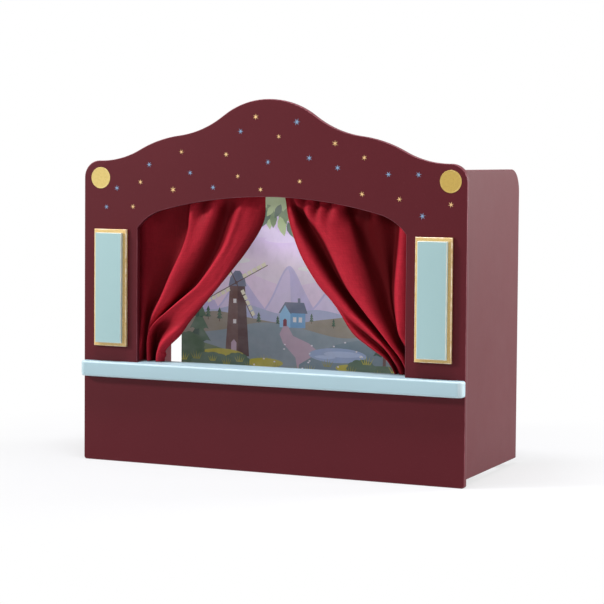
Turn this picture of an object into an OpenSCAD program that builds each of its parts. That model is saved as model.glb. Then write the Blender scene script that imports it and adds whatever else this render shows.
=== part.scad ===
// Table-top puppet theatre with an arched front, tied-back curtains and a lift-out backdrop.
// Millimetres. X runs across the front, Y from the audience to the rear, Z up.
// The origin is on the floor, under the middle of the footprint.

/* [Overall] */
// Width of the front board
theatre_w = 580; // [470:5:720]
// Depth from the front face to the rear edges of the side boards
theatre_d = 240; // [190:5:320]
// Thickness of the front and side boards
board_t = 9; // [6:0.5:15]
// Easing of the exposed board edges
arris = 1; // [0.5:0.1:1.5]

/* [Front board] */
// Height of the crown above the floor
crown_h = 516.5; // [485:0.5:640]
// Height of the waist beside the crown
waist_h = 466; // [450:0.5:480]
// Distance of the waist from the board's edge
waist_in = 152; // [130:1:170]
// Slope of the outline at the waist, in degrees
waist_slope = 7.2; // [0:0.1:12]
// Height of the flat shoulders
shoulder_h = 430; // [425:0.5:445]
// Distance from the board's edge to where a shoulder turns flat
shoulder_in = 27; // [26:0.5:45]
// Radius of the shoulder corners
shoulder_r = 24; // [10:0.5:25]
// Radius of the bottom corners
foot_r = 4; // [1:0.5:8]
// Width of the jambs beside the stage opening
jamb_w = 86; // [80:1:100]
// Height of the arch at its middle
arch_h = 382; // [365:1:388]
// Height at which the arch meets the jambs
spring_h = 335; // [320:1:345]
// Radius of the tight haunches of the arch
haunch_r = 74; // [60:1:80]
// Angle of the haunch where it meets the jamb, in degrees
haunch_angle = 52; // [45:1:60]

/* [Stage ledge] */
// Height of the ledge's top above the floor
ledge_h = 143.5; // [120:0.5:160]
// Thickness of the ledge
ledge_t = 22; // [15:0.5:30]
// How far the ledge stands out in front of the board
ledge_nose = 14; // [10:0.5:30]
// How far the ledge runs back behind the board
ledge_back = 31; // [24:0.5:50]
// Radius of the ledge's corners seen from above
ledge_corner_r = 9; // [4:0.5:9.5]
// Rounding of the ledge's long edges
ledge_round = 3; // [1:0.5:4]
// Side of the square batten under the ledge
cleat_s = 18; // [12:1:24]

/* [Plaques] */
// Width of a gold plaque frame
plaque_w = 52; // [40:1:60]
// Height of a gold plaque frame
plaque_h = 167; // [130:1:200]
// Gap from the ledge's top to the frame
plaque_lift = 22; // [10:1:40]
// Distance from the board's edge to the middle of a plaque
plaque_in = 45; // [38:0.5:50]
// Thickness of the gold frame board
frame_t = 5.5; // [3:0.5:8]
// Gold margin left round the blue panel
frame_margin = 5; // [3:0.5:10]
// Thickness of the blue panel
panel_t = 6; // [3:0.5:8]

/* [Side boards] */
// Distance from the front board's edge to a side's outer face
side_in = 6; // [2:0.5:12]
// Clearance of the sides above the floor
side_lift = 8; // [3:0.5:20]
// Drop from the front board's shoulders to the sides' top edge
side_drop = 8; // [6:0.5:20]
// Radius of the rear top corners
side_r = 32; // [10:1:60]
// Side of the square battens in the front corners
batten_s = 14; // [10:1:20]

/* [Backdrop and rails] */
// Gap between the backdrop and each side board
backdrop_gap = 39; // [8:1:80]
// Thickness of the backdrop board
backdrop_t = 3; // [2:0.5:5]
// Drop from the sides' top edge to the backdrop's top edge
backdrop_drop = 3; // [1:0.5:20]
// Radius of the backdrop's corners
backdrop_r = 5; // [1:0.5:12]
// Distance from the backdrop's middle to the rear edges of the sides
backdrop_in = 40; // [20:1:60]
// Thickness of both rails
rail_t = 22; // [16:0.5:30]
// Height of the lower rail
low_rail_h = 60; // [45:1:100]
// How far the rear foot stands in from the side boards
foot_in = 25; // [12:1:80]
// Depth of the groove in the lower rail
groove_d = 12; // [6:0.5:20]
// Height of the upper rail
top_rail_h = 22; // [16:0.5:24]
// How far the backdrop stands above the upper rail
grip_h = 7; // [3:0.5:12]
// Total play of the backdrop in its groove and slot
slot_play = 1; // [0.6:0.1:2]
// Diameter of the dowels in the rail ends
dowel_d = 8; // [5:0.5:10]
// How deep a dowel sits in a side board
dowel_in_side = 5; // [3:0.5:5.5]
// How deep a dowel sits in a rail
dowel_in_rail = 20; // [12:1:30]

/* [Curtains] */
// Diameter of the curtain rod
rod_d = 10; // [8:0.5:12]
// Height of the curtain rod's axis above the top of the arch
rod_above = 16; // [12:0.5:20]
// Distance from the board's rear face to the rod's axis
rod_back = 17; // [14:0.5:22]
// Width of a rod bracket along the rod
bracket_w = 16; // [10:1:20]
// Gap between the two curtains at the rod
curtain_gap = 27; // [10:1:60]
// Gap between a curtain's outer edge and its rod bracket
curtain_in = 7; // [2:1:20]
// Depth of the folds from their middle, where they are fullest
fold_depth = 9; // [4:0.5:11]
// Thickness of the cloth
cloth_t = 1.2; // [0.8:0.1:1.5]
// Height of the tie above the ledge
tie_lift = 21.5; // [15:0.5:60]
// Width of a curtain where it is tied
tie_w = 44; // [30:1:50]
// How far a tied curtain reaches behind its jamb
tie_lap = 6; // [0:1:20]
// Width of the tieback ribbon
ribbon_w = 6; // [4:0.5:12]
// Thickness of the tieback ribbon
ribbon_t = 1; // [0.8:0.1:1.5]
// Diameter of a tieback peg
peg_d = 5; // [4:0.5:8]

/* [Hidden] */
$fn = 64;

burgundy = [0.38, 0.15, 0.16];
pale_blue = [0.70, 0.80, 0.82];
gold = [0.83, 0.68, 0.38];
sky_blue = [0.66, 0.78, 0.78];
crimson = [0.60, 0.10, 0.16];
beech = [0.80, 0.66, 0.47];
print_sky = [0.78, 0.74, 0.82];

// The smallest clearances: a glued or dropped-in fit, and soft cloth beside a hard piece
fit_gap = 0.3;
soft_gap = 0.4;
dowel_gap = 0.05;
cut = 1;               // how far a cutter runs past the face it opens
arc_steps = 10;        // straight steps in each arc of an outline

half_w = theatre_w / 2;
open_half = half_w - jamb_w;
ledge_floor = ledge_h - ledge_t;
side_x = half_w - side_in - board_t;          // inner face of a side board
side_top = shoulder_h - side_drop;
backdrop_w = 2 * (side_x - backdrop_gap);
backdrop_top = side_top - backdrop_drop;
backdrop_y = theatre_d - backdrop_in;
slot_t = backdrop_t + slot_play;
slot_w = backdrop_w + 4 * slot_play;
top_rail_z = backdrop_top - grip_h - top_rail_h;
rod_y = board_t + rod_back;
rod_h = arch_h + rod_above;
rod_seat_r = rod_d / 2 + 0.15;
bracket_x = side_x - batten_s - 2 - bracket_w;    // inner face of a rod bracket
bracket_above = 9;                            // how far a bracket stands above and below the rod
bracket_below = 16;
bracket_behind = 13;
tie_h = ledge_h + tie_lift;
peg_x = open_half + tie_lap + 12;
peg_head_d = peg_d + 4;
peg_head_t = 3;
peg_len = 18;

// Outline geometry: arcs between knots that state a point and a heading

function heading(a) = [cos(a), sin(a)];

// Points of the circular arc that leaves p0 at heading a0 and reaches p1
function arc_to(p0, a0, p1) =
    let (
        chord = p1 - p0,
        turn = 2 * (atan2(chord[1], chord[0]) - a0),
        len = norm(chord)
    )
    abs(turn) < 0.01
        ? [p0, p1]
        : let (
            r = len / (2 * sin(turn / 2)),
            centre = p0 + r * heading(a0 + 90)
        )
        [for (i = [0:arc_steps]) centre - r * heading(a0 + 90 + turn * i / arc_steps)];

// Two arcs that meet smoothly, from p0 at heading a0 to p1 at heading a1
function arc_pair(p0, a0, p1, a1) =
    let (
        v = p1 - p0,
        t0 = heading(a0),
        t1 = heading(a1),
        c = 1 - t0 * t1,
        vt = v * (t0 + t1),
        d = c < 1e-9 ? (v * v) / (4 * (v * t0)) : (sqrt(vt * vt + 2 * c * (v * v)) - vt) / (2 * c),
        middle = (p0 + d * t0 + p1 - d * t1) / 2,
        first = arc_to(p0, a0, middle),
        back = arc_to(p1, a1 + 180, middle)
    )
    concat(first, [for (i = [len(back) - 2:-1:0]) back[i]]);

// A round corner of radius r about centre c, from angle a0 to angle a1
function corner(c, r, a0, a1) =
    [for (i = [0:arc_steps]) c + r * heading(a0 + (a1 - a0) * i / arc_steps)];

// A closed outline, anticlockwise, from its right half, which runs from the top to the bottom
function both_halves(right) =
    let (
        left = [for (p = right) [-p[0], p[1]]],
        round_trip = concat(left, [for (i = [len(right) - 1:-1:0]) right[i]]),
        n = len(round_trip)
    )
    [for (i = [0:n - 1]) if (norm(round_trip[i] - round_trip[(i + 1) % n]) > 0.01) round_trip[i]];

function unit(v) = v / norm(v);
function ease(t) = (1 - cos(180 * t)) / 2;
function mix(a, b, t) = a + (b - a) * t;

// An anticlockwise outline drawn in by d
function inset(points, d) =
    let (n = len(points))
    [for (i = [0:n - 1])
        let (
            a = unit(points[i] - points[(i + n - 1) % n]),
            b = unit(points[(i + 1) % n] - points[i]),
            m = [-a[1] - b[1], a[0] + b[0]]
        )
        points[i] + m * 2 * d / (m * m)];

// Right half of the front board's outline, from the crown down to the middle of the base
function crown_half() = concat(
    arc_pair([0, crown_h], 0, [half_w - waist_in, waist_h], -waist_slope),
    arc_pair([half_w - waist_in, waist_h], -waist_slope, [half_w - shoulder_in, shoulder_h], 0),
    corner([half_w - shoulder_r, shoulder_h - shoulder_r], shoulder_r, 90, 0),
    corner([half_w - foot_r, foot_r], foot_r, 0, -90)
);

// Right half of the three-centred arch, from its apex to the jamb
function arch_half() =
    let (
        hc = [
            open_half - haunch_r * sin(haunch_angle),
            spring_h - haunch_r * cos(haunch_angle)
        ],
        q = arch_h - hc[1],
        crown_r = (hc[0] * hc[0] + q * q - haunch_r * haunch_r) / (2 * (q - haunch_r)),
        meet = asin(hc[0] / (crown_r - haunch_r))
    )
    concat(
        [for (i = [0:arc_steps])
            [0, arch_h - crown_r] + crown_r * heading(90 - meet * i / arc_steps)],
        corner(hc, haunch_r, 90 - meet, 90 - haunch_angle)
    );

// A closed ring with a three-sided section that follows an outline. Each corner of the section
// states how far the outline is drawn in, and its height.
module edge_ring(points, section) {
    n = len(points);
    polyhedron(
        [for (s = section) each [for (p = inset(points, s[0])) [p[0], p[1], s[1]]]],
        [for (k = [0:2], i = [0:n - 1])
            let (
                a = k * n + i,
                b = k * n + (i + 1) % n,
                c = (k + 1) % 3 * n + i,
                d = (k + 1) % 3 * n + (i + 1) % n
            )
            each [[a, b, d], [a, d, c]]]
    );
}

// What eases both arrises of a plate from z = 0 to t, all along its outline. The rings lie
// inside the outline for a plate (way = 1) and outside it for an opening (way = -1).
module arris_rings(points, t, r, way = 1) {
    e = r / 2;             // how far a ring runs past the faces that it cuts
    for (far = [false, true])
        edge_ring(points, [
            for (corner = far == (way > 0)
                    ? [[-e, -e], [-e, r + e], [r + e, -e]]
                    : [[-e, -e], [r + e, -e], [-e, r + e]])
                [way * corner[0], far ? t - corner[1] : corner[1]]
        ]);
}

module eased_plate(points, t, r) {
    difference() {
        linear_extrude(t) polygon(points);
        arris_rings(points, t, r);
    }
}

// Stands a plate drawn in XY up in the XZ plane, from y0 back to y0 + t
module standing(y0, t) {
    translate([0, y0 + t, 0]) rotate([90, 0, 0]) children();
}

module upright(y0, t) {
    standing(y0, t) linear_extrude(t) children();
}

// A rectangular board of thickness t standing on z = 0 in front of y = 0
module eased_board(w, h, t) {
    standing(-t, t) eased_plate([[-w / 2, 0], [w / 2, 0], [w / 2, h], [-w / 2, h]], t, arris);
}

// Everything is drawn from the front face of the front board, then moved to the footprint's middle
module placed() {
    translate([0, (ledge_nose - theatre_d) / 2, 0]) children();
}

module on_side(side) {
    scale([side, 1, 1]) children();
}

module front_board() {
    board = both_halves(crown_half());
    opening = both_halves(concat(arch_half(), [[open_half, ledge_floor], [0, ledge_floor]]));
    color(burgundy) placed() standing(0, board_t) difference() {
        linear_extrude(board_t) difference() {
            polygon(board);
            polygon(opening);
        }
        arris_rings(board, board_t, arris);
        arris_rings(opening, board_t, arris, way = -1);
    }
}

// One layer of the nosing, drawn in by i all round except at the back
module nosing_layer(i, z0, h) {
    x = half_w - ledge_corner_r;
    y = ledge_corner_r - ledge_nose;
    translate([0, 0, z0]) linear_extrude(h) polygon(concat(
        corner([-x, y], ledge_corner_r - i, 180, 270),
        corner([x, y], ledge_corner_r - i, 270, 360),
        [[half_w - i, 0], [i - half_w, 0]]
    ));
}

module stage_ledge() {
    tongue = 2 * (open_half - fit_gap);
    color(pale_blue) placed() union() {
        hull() for (a = [0, 30, 60, 90]) {
            z = ledge_round * (1 - sin(a));
            nosing_layer(ledge_round * (1 - cos(a)), ledge_floor + z, ledge_t - 2 * z);
        }
        translate([-tongue / 2, -1, ledge_floor])
            cube([tongue, board_t + ledge_back + 1 - ledge_round, ledge_t]);
        translate([-tongue / 2, board_t + ledge_back - ledge_round, ledge_floor])
            intersection() {
                cube([tongue, ledge_round, ledge_t]);
                translate([0, 0, ledge_t / 2]) rotate([0, 90, 0]) linear_extrude(tongue) hull()
                    for (s = [-1, 1]) translate([s * (ledge_t / 2 - ledge_round), 0])
                        circle(ledge_round);
            }
    }
}

module ledge_cleat() {
    w = 2 * (open_half - cleat_s);
    color(burgundy) placed()
        translate([-w / 2, board_t, ledge_floor - cleat_s]) cube([w, cleat_s, cleat_s]);
}

module plaque_frame(side) {
    color(gold) placed()
        translate([side * (half_w - plaque_in), 0, ledge_h + plaque_lift])
            eased_board(plaque_w, plaque_h, frame_t);
}

module plaque_panel(side) {
    color(sky_blue) placed()
        translate([
            side * (half_w - plaque_in),
            -frame_t,
            ledge_h + plaque_lift + frame_margin
        ])
            eased_board(plaque_w - 2 * frame_margin, plaque_h - 2 * frame_margin, panel_t);
}

// Centres of the rail dowels in a side board: two in each rail
dowel_spread = 0.28;   // distance of a dowel from its rail's middle, as a share of the rail
low_rail_mid = (side_lift + low_rail_h) / 2;
dowel_at = concat(
    [for (s = [-1, 1]) [backdrop_y, low_rail_mid + s * (low_rail_h - side_lift) * dowel_spread]],
    [for (s = [-1, 1]) [backdrop_y + s * rail_t * dowel_spread, top_rail_z + top_rail_h / 2]]
);

module dowel_holes(side, r, x0, x1) {
    for (p = dowel_at)
        translate([side * x0, p[0], p[1]])
            rotate([0, side * 90, 0]) cylinder(r = r, h = x1 - x0);
}

// Profile of a side board in Y and Z
function side_profile() = concat(
    [[board_t, side_lift], [theatre_d, side_lift]],
    corner([theatre_d - side_r, side_top - side_r], side_r, 0, 90),
    [[board_t, side_top]]
);

module side_board(side) {
    color(burgundy) placed() difference() {
        on_side(side) translate([side_x, 0, 0]) rotate([90, 0, 90])
            eased_plate(side_profile(), board_t, arris);
        dowel_holes(side, dowel_d / 2, side_x - cut, side_x + dowel_in_side + fit_gap);
    }
}

module corner_batten(side) {
    end_gap = 12;
    z0 = side_lift + end_gap;
    color(burgundy) placed() on_side(side)
        translate([side_x - batten_s, board_t, z0])
            cube([batten_s, batten_s, side_top - end_gap - z0]);
}

module rail_body(z0, h) {
    difference() {
        translate([-side_x, backdrop_y - rail_t / 2, z0]) cube([2 * side_x, rail_t, h]);
        for (side = [-1, 1])
            dowel_holes(side, dowel_d / 2, side_x - dowel_in_rail - fit_gap, side_x + cut);
    }
}

// The backdrop's passage through a rail, from height z0 up
module backdrop_slot(z0, h) {
    translate([-slot_w / 2, backdrop_y - slot_t / 2, z0]) cube([slot_w, slot_t, h]);
}

// The lower rail, with the foot that carries the theatre's rear
module lower_rear_rail() {
    foot = side_x - foot_in;
    color(burgundy) placed() difference() {
        union() {
            rail_body(side_lift, low_rail_h - side_lift);
            translate([0, backdrop_y - rail_t / 2, 0]) upright(0, rail_t) polygon([
                [side_lift - foot, 0], [foot - side_lift, 0],
                [foot, side_lift], [foot, side_lift + 1],
                [-foot, side_lift + 1], [-foot, side_lift]
            ]);
        }
        backdrop_slot(low_rail_h - groove_d, groove_d + cut);
    }
}

module upper_rear_rail() {
    color(burgundy) placed() difference() {
        rail_body(top_rail_z, top_rail_h);
        backdrop_slot(top_rail_z - cut, top_rail_h + 2 * cut);
    }
}

module rail_dowels() {
    color(beech) placed() for (side = [-1, 1])
        dowel_holes(side, dowel_d / 2 - dowel_gap, side_x - dowel_in_rail, side_x + dowel_in_side);
}

module backdrop_board() {
    z0 = low_rail_h - groove_d;
    color(print_sky) placed() upright(backdrop_y - backdrop_t / 2, backdrop_t)
        hull() for (x = [-1, 1], z = [z0 + backdrop_r, backdrop_top - backdrop_r])
            translate([x * (backdrop_w / 2 - backdrop_r), z]) circle(backdrop_r);
}

module curtain_rod() {
    len = 2 * (bracket_x + bracket_w);
    color(beech) placed()
        translate([-len / 2, rod_y, rod_h]) rotate([0, 90, 0]) cylinder(d = rod_d, h = len);
}

// A block with a half-round seat that the rod drops into from above
module rod_bracket(side) {
    top = rod_h + bracket_above;
    color(burgundy) placed() on_side(side) difference() {
        translate([bracket_x, board_t, rod_h - bracket_below])
            cube([bracket_w, rod_back + bracket_behind, bracket_below + bracket_above]);
        translate([bracket_x - cut, rod_y, rod_h]) rotate([0, 90, 0])
            cylinder(r = rod_seat_r, h = bracket_w + 2 * cut);
        translate([bracket_x - cut, rod_y - rod_seat_r, rod_h])
            cube([bracket_w + 2 * cut, 2 * rod_seat_r, top - rod_h + cut]);
    }
}

// Curtain: a gathered sheet that goes over the rod, hangs in folds that run in to the tie,
// and drops from there to the ledge.

// The fold lines of each curtain, from its outer edge to its leading edge: share of the width at
// the rod, share at the tie, depth (1 on a crest, -1 in a valley), and how late the line sweeps
// out to the tie (1 runs straight)
left_folds = [
    [0.00, 0.00, -0.2, 1.0],
    [0.17, 0.16, 0.5, 1.0],
    [0.34, 0.31, -1.0, 1.0],
    [0.48, 0.45, 1.0, 1.1],
    [0.63, 0.58, 0.3, 1.2],
    [0.74, 0.71, -1.0, 1.3],
    [0.82, 0.85, 1.0, 1.5],
    [1.00, 1.00, 0.0, 1.8]
];
right_folds = [
    [0.00, 0.00, -0.3, 1.0],
    [0.22, 0.26, 1.0, 1.0],
    [0.36, 0.40, -1.0, 1.0],
    [0.58, 0.53, 0.4, 1.0],
    [0.86, 0.66, 1.0, 1.0],
    [0.92, 0.79, -1.0, 1.4],
    [0.97, 0.91, 0.5, 1.9],
    [1.00, 1.00, 0.0, 1.9]
];
steps_per_line = 4;
across = (len(left_folds) - 1) * steps_per_line;    // sheet cells across the cloth
case_step = 45;                                // degrees between rows over the rod
case_count = 180 / case_step + 1;
case_r = (rod_d / 2 + soft_gap) / cos(case_step / 2) + cloth_t / 2;   // cloth's middle at the rod
case_ruffle = 2.2;                             // extra radius at the crests over the rod
case_tail = 12;                                // the casing's hem below the rod, behind it
hang_rows = 11;
tail_rows = 2;
tie_band = ribbon_w / 2 + 1;                   // half the height over which the cloth is drawn in
tail_foot = ledge_h + soft_gap + cloth_t / 2;
tail_flare = 2;                                // how far the foot stands out past the tied cloth
fold_y = board_t + 17;                         // middle of the folds

// A fold row for column i, between the fold lines on either side
function fold_at(folds, i) =
    let (
        k = min(floor(i / steps_per_line), len(folds) - 2),
        t = i / steps_per_line - k,
        a = folds[k],
        b = folds[k + 1]
    )
    [mix(a[0], b[0], t), mix(a[1], b[1], t), mix(a[2], b[2], ease(t)), mix(a[3], b[3], t)];

function rod_x(f) = mix(bracket_x - curtain_in, curtain_gap / 2, f[0]);
function tie_x(share) = open_half + tie_lap - tie_w * share;

// Share of the depth that the ribbon leaves: the bundle is an oval
function bundle(share) = sqrt(max(0, 1 - pow(2 * share - 1, 2)));

// The cloth over the rod, from its hem behind the rod (row 0) to the front of the rod
function case_point(f, j) =
    let (
        r = case_r + case_ruffle * (1 + f[2]) / 2,
        a = (j - 1) * case_step
    )
    j == 0
        ? [rod_x(f), rod_y + r, rod_h - case_tail]
        : [rod_x(f), rod_y + r * cos(a), rod_h + r * sin(a)];

// The cloth between the rod (w = 0) and the top of the tie (w = 1)
function hang_point(f, w) =
    let (depth = fold_depth * mix(0.25, 1, ease(min(1, 3 * w))) * mix(1, bundle(f[1]), ease(w)))
    [
        mix(rod_x(f), tie_x(f[1]), pow(w, f[3])),
        mix(rod_y - case_r, fold_y, ease(min(1, 2 * w))) - depth * f[2],
        mix(rod_h, tie_h + tie_band, w)
    ];

// The cloth between the bottom of the tie (w = 0) and the ledge (w = 1)
function tail_point(f, w) = [
    tie_x(f[1]) - tail_flare * w * (2 * f[1] - 1),
    fold_y - fold_depth * mix(bundle(f[1]), 1, ease(w)) * f[2],
    mix(tie_h - tie_band, tail_foot, w)
];

cloth_rows = case_count + hang_rows + 1 + tail_rows;

// A point on the cloth's middle surface in column i and row j, from the casing's hem to the foot
function cloth_point(folds, i, j) =
    let (f = fold_at(folds, i), hung = j - case_count, tail = hung - hang_rows - 1)
    hung <= 0 ? case_point(f, j)
        : tail < 0 ? hang_point(f, hung / hang_rows)
        : tail_point(f, tail / tail_rows);

function cloth_normal(folds, i, j) =
    let (
        across_way = cloth_point(folds, min(across, i + 1), j)
            - cloth_point(folds, max(0, i - 1), j),
        down_way = cloth_point(folds, i, min(cloth_rows, j + 1))
            - cloth_point(folds, i, max(0, j - 1))
    )
    unit(cross(across_way, down_way));

module cloth_sheet(folds) {
    cols = across + 1;
    rows = cloth_rows + 1;
    n = cols * rows;
    points = [
        for (face = [1, -1], j = [0:cloth_rows], i = [0:across])
            cloth_point(folds, i, j) + face * cloth_t / 2 * cloth_normal(folds, i, j)
    ];
    function at(face, i, j) = face * n + j * cols + i;
    function quad(a, b, c, d) = [[a, b, c], [a, c, d]];
    faces = concat(
        [for (j = [0:cloth_rows - 1], i = [0:across - 1])
            each quad(at(0, i, j), at(0, i, j + 1), at(0, i + 1, j + 1), at(0, i + 1, j))],
        [for (j = [0:cloth_rows - 1], i = [0:across - 1])
            each quad(at(1, i, j), at(1, i + 1, j), at(1, i + 1, j + 1), at(1, i, j + 1))],
        [for (j = [0:cloth_rows - 1])
            each quad(at(0, 0, j), at(1, 0, j), at(1, 0, j + 1), at(0, 0, j + 1))],
        [for (j = [0:cloth_rows - 1])
            each quad(at(0, across, j), at(0, across, j + 1), at(1, across, j + 1), at(1, across, j))],
        [for (i = [0:across - 1])
            each quad(at(0, i, 0), at(0, i + 1, 0), at(1, i + 1, 0), at(1, i, 0))],
        [for (i = [0:across - 1])
            each quad(
                at(0, i, cloth_rows), at(1, i, cloth_rows),
                at(1, i + 1, cloth_rows), at(0, i + 1, cloth_rows)
            )]
    );
    polyhedron(points, faces);
}

module curtain(side, folds) {
    color(crimson) placed() on_side(side) cloth_sheet(folds);
}

// Tieback: a ribbon sewn across the back of the gathered cloth, with an eye that hooks over the peg
tie_room = soft_gap + cloth_t / 2;
tie_half_y = fold_depth + tie_room;
tie_seam = 10;                                 // from the leading edge to the ribbon's sewn end

module tie_outline(grow) {
    r = tie_half_y;
    hull() for (x = [tie_x(1) - tie_room + r, tie_x(0) + tie_room - r])
        translate([x, fold_y]) circle(r + grow);
}

module tieback(side) {
    eye_y = fold_y - ribbon_t / 2;
    color(crimson) placed() on_side(side) union() {
        translate([0, 0, tie_h - ribbon_w / 2]) linear_extrude(ribbon_w) intersection() {
            difference() {
                tie_outline(ribbon_t);
                tie_outline(0);
            }
            translate([tie_x(1) + tie_seam, eye_y])
                square([tie_w + tie_room + ribbon_t, tie_half_y + 2 * ribbon_t]);
        }
        translate([0, eye_y, tie_h]) upright(0, ribbon_t) difference() {
            hull() {
                translate([peg_x, 0]) circle(d = ribbon_w);
                translate([tie_x(0) + tie_room, -ribbon_w / 2]) square([ribbon_t, ribbon_w]);
            }
            translate([peg_x, 0]) circle(d = peg_d + 2 * soft_gap);
            translate([tie_x(0) + tie_room - ribbon_w, -ribbon_w])
                square([ribbon_w, 2 * ribbon_w]);
        }
    }
}

// A turned peg glued into the rear face of a jamb
module tieback_peg(side) {
    color(beech) placed() on_side(side)
        translate([peg_x, board_t, tie_h]) rotate([-90, 0, 0]) rotate_extrude()
            polygon([
                [0, 0], [peg_d / 2, 0], [peg_d / 2, peg_len],
                [peg_head_d / 2, peg_len + 1], [peg_head_d / 2, peg_len + peg_head_t - 1],
                [peg_head_d / 2 - 1, peg_len + peg_head_t], [0, peg_len + peg_head_t]
            ]);
}

front_board();
stage_ledge();
ledge_cleat();
plaque_frame(-1);  // left_plaque_frame
plaque_frame(1);  // right_plaque_frame
plaque_panel(-1);  // left_plaque_panel
plaque_panel(1);  // right_plaque_panel
side_board(-1);  // left_side_board
side_board(1);  // right_side_board
corner_batten(-1);  // left_corner_batten
corner_batten(1);  // right_corner_batten
lower_rear_rail();
upper_rear_rail();
rail_dowels();
backdrop_board();
curtain_rod();
rod_bracket(-1);  // left_rod_bracket
rod_bracket(1);  // right_rod_bracket
curtain(-1, left_folds);  // left_curtain
curtain(1, right_folds);  // right_curtain
tieback(-1);  // left_tieback
tieback(1);  // right_tieback
tieback_peg(-1);  // left_tieback_peg
tieback_peg(1);  // right_tieback_peg
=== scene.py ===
# Finish and soft furnishing of a table-top puppet theatre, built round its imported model.
# Metres, in the model's own frame: X runs along the front, Y to the rear, Z up.
import math
import random

import bmesh
import bpy
from mathutils import Matrix, Vector, noise
from mathutils.geometry import delaunay_2d_cdt


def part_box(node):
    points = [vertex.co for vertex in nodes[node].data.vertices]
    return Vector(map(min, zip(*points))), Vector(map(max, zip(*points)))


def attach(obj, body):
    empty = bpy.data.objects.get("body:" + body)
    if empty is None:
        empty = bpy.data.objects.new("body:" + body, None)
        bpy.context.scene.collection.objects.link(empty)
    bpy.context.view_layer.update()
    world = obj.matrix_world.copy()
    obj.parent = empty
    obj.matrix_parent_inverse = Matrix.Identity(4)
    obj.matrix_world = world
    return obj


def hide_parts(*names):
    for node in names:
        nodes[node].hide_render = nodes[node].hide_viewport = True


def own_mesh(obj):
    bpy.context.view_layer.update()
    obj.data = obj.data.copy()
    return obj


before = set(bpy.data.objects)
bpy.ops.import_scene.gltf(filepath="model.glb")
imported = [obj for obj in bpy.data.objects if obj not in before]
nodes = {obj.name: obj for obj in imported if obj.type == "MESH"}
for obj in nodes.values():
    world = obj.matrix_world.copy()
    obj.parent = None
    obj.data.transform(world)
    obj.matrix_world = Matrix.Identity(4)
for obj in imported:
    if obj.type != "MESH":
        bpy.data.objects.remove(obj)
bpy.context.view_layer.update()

mm = 0.001
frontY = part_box("front_board")[0].y             # the face that the audience sees
print("frame loaded:", len(nodes), "nodes")


# Small tools

def paint(red, green, blue):                    # a colour as a paint card gives it, 0 to 255
    return tuple(c / 12.92 if c <= 0.04045 else ((c + 0.055) / 1.055) ** 2.4
                 for c in (red / 255, green / 255, blue / 255))


def shade(colour, share):
    return tuple(min(1, c * share) for c in colour)


def ease(t):
    t = max(0, min(1, t))
    return t * t * (3 - 2 * t)


def mix(a, b, t):
    return a + (b - a) * t


def curveAt(knots, t):
    # a smooth curve through knots (t, value, value, ...), held at both ends
    if t <= knots[0][0]:
        return knots[0][1:]
    if t >= knots[-1][0]:
        return knots[-1][1:]
    k = next(i for i in range(len(knots) - 1) if t <= knots[i + 1][0])
    a, b = knots[k], knots[k + 1]
    before, after = knots[max(k - 1, 0)], knots[min(k + 2, len(knots) - 1)]
    span = b[0] - a[0]
    s = (t - a[0]) / span
    values = []
    for i in range(1, len(a)):
        leave = (b[i] - before[i]) / (b[0] - before[0]) * span
        arrive = (after[i] - a[i]) / (after[0] - a[0]) * span
        values.append((2 * s**3 - 3 * s**2 + 1) * a[i] + (s**3 - 2 * s**2 + s) * leave
                      + (3 * s**2 - 2 * s**3) * b[i] + (s**3 - s**2) * arrive)
    return tuple(values)


def roundTurn(count):
    # cosine and sine of equal steps round a full turn
    angles = [2 * math.pi * i / count for i in range(count)]
    return [(math.cos(angle), math.sin(angle)) for angle in angles]


def pairsRound(ring):
    return list(zip(ring, ring[1:] + ring[:1]))


def pathLength(points):
    return sum(math.dist(a, b) for a, b in zip(points, points[1:]))


def addObject(name, data):
    obj = bpy.data.objects.new(name, data)
    bpy.context.scene.collection.objects.link(obj)
    return obj


def makeObject(name, points, faces, material, smooth=False):
    mesh = bpy.data.meshes.new(name)
    mesh.from_pydata([tuple(p) for p in points], [], faces)
    mesh.update()
    mesh.materials.append(material)
    for face in mesh.polygons:
        face.use_smooth = smooth
    return addObject(name, mesh)


def saveMesh(mesh, data):
    # an edited mesh goes into data with its faces turned outward
    bmesh.ops.recalc_face_normals(mesh, faces=mesh.faces)
    mesh.to_mesh(data)
    mesh.free()
    return data


def joinParts(parts):
    # points and faces of several parts as one
    points, faces = [], []
    for morePoints, moreFaces in parts:
        faces += [tuple(i + len(points) for i in face) for face in moreFaces]
        points += morePoints
    return points, faces


def closedSweep(rings, capped=True):
    # points and faces of a tube through rings of equal count
    count = len(rings[0])
    points = [p for ring in rings for p in ring]
    faces = []
    for j in range(len(rings) - 1):
        for i in range(count):
            k = (i + 1) % count
            faces.append((j * count + i, j * count + k, (j + 1) * count + k, (j + 1) * count + i))
    if capped:
        faces.append(tuple(reversed(range(count))))
        faces.append(tuple((len(rings) - 1) * count + i for i in range(count)))
    return points, faces


def prism(outline, nearY, farY):
    # a flat shape in X and Z, given anticlockwise as the audience sees it
    return closedSweep([[(x, y, z) for x, z in outline] for y in (farY, nearY)])


# The camera stands where the photographer's stood

photoCamera = {
    "place": (1.1399, -2.5486, 0.4400),         # metres
    "yaw": 24.064,              # degrees, from straight at the front
    "pitch": 2.78,              # degrees, looking down
    "roll": 0.44,               # degrees
    "frame": 604,               # pixels each way
    "focal": 1955.7,            # pixels
    "levelRow": 250,            # the lens axis meets the frame in this row
    "sensor": 36.0,             # millimetres
    "sees": 100.0,              # metres that the camera sees
}


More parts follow.
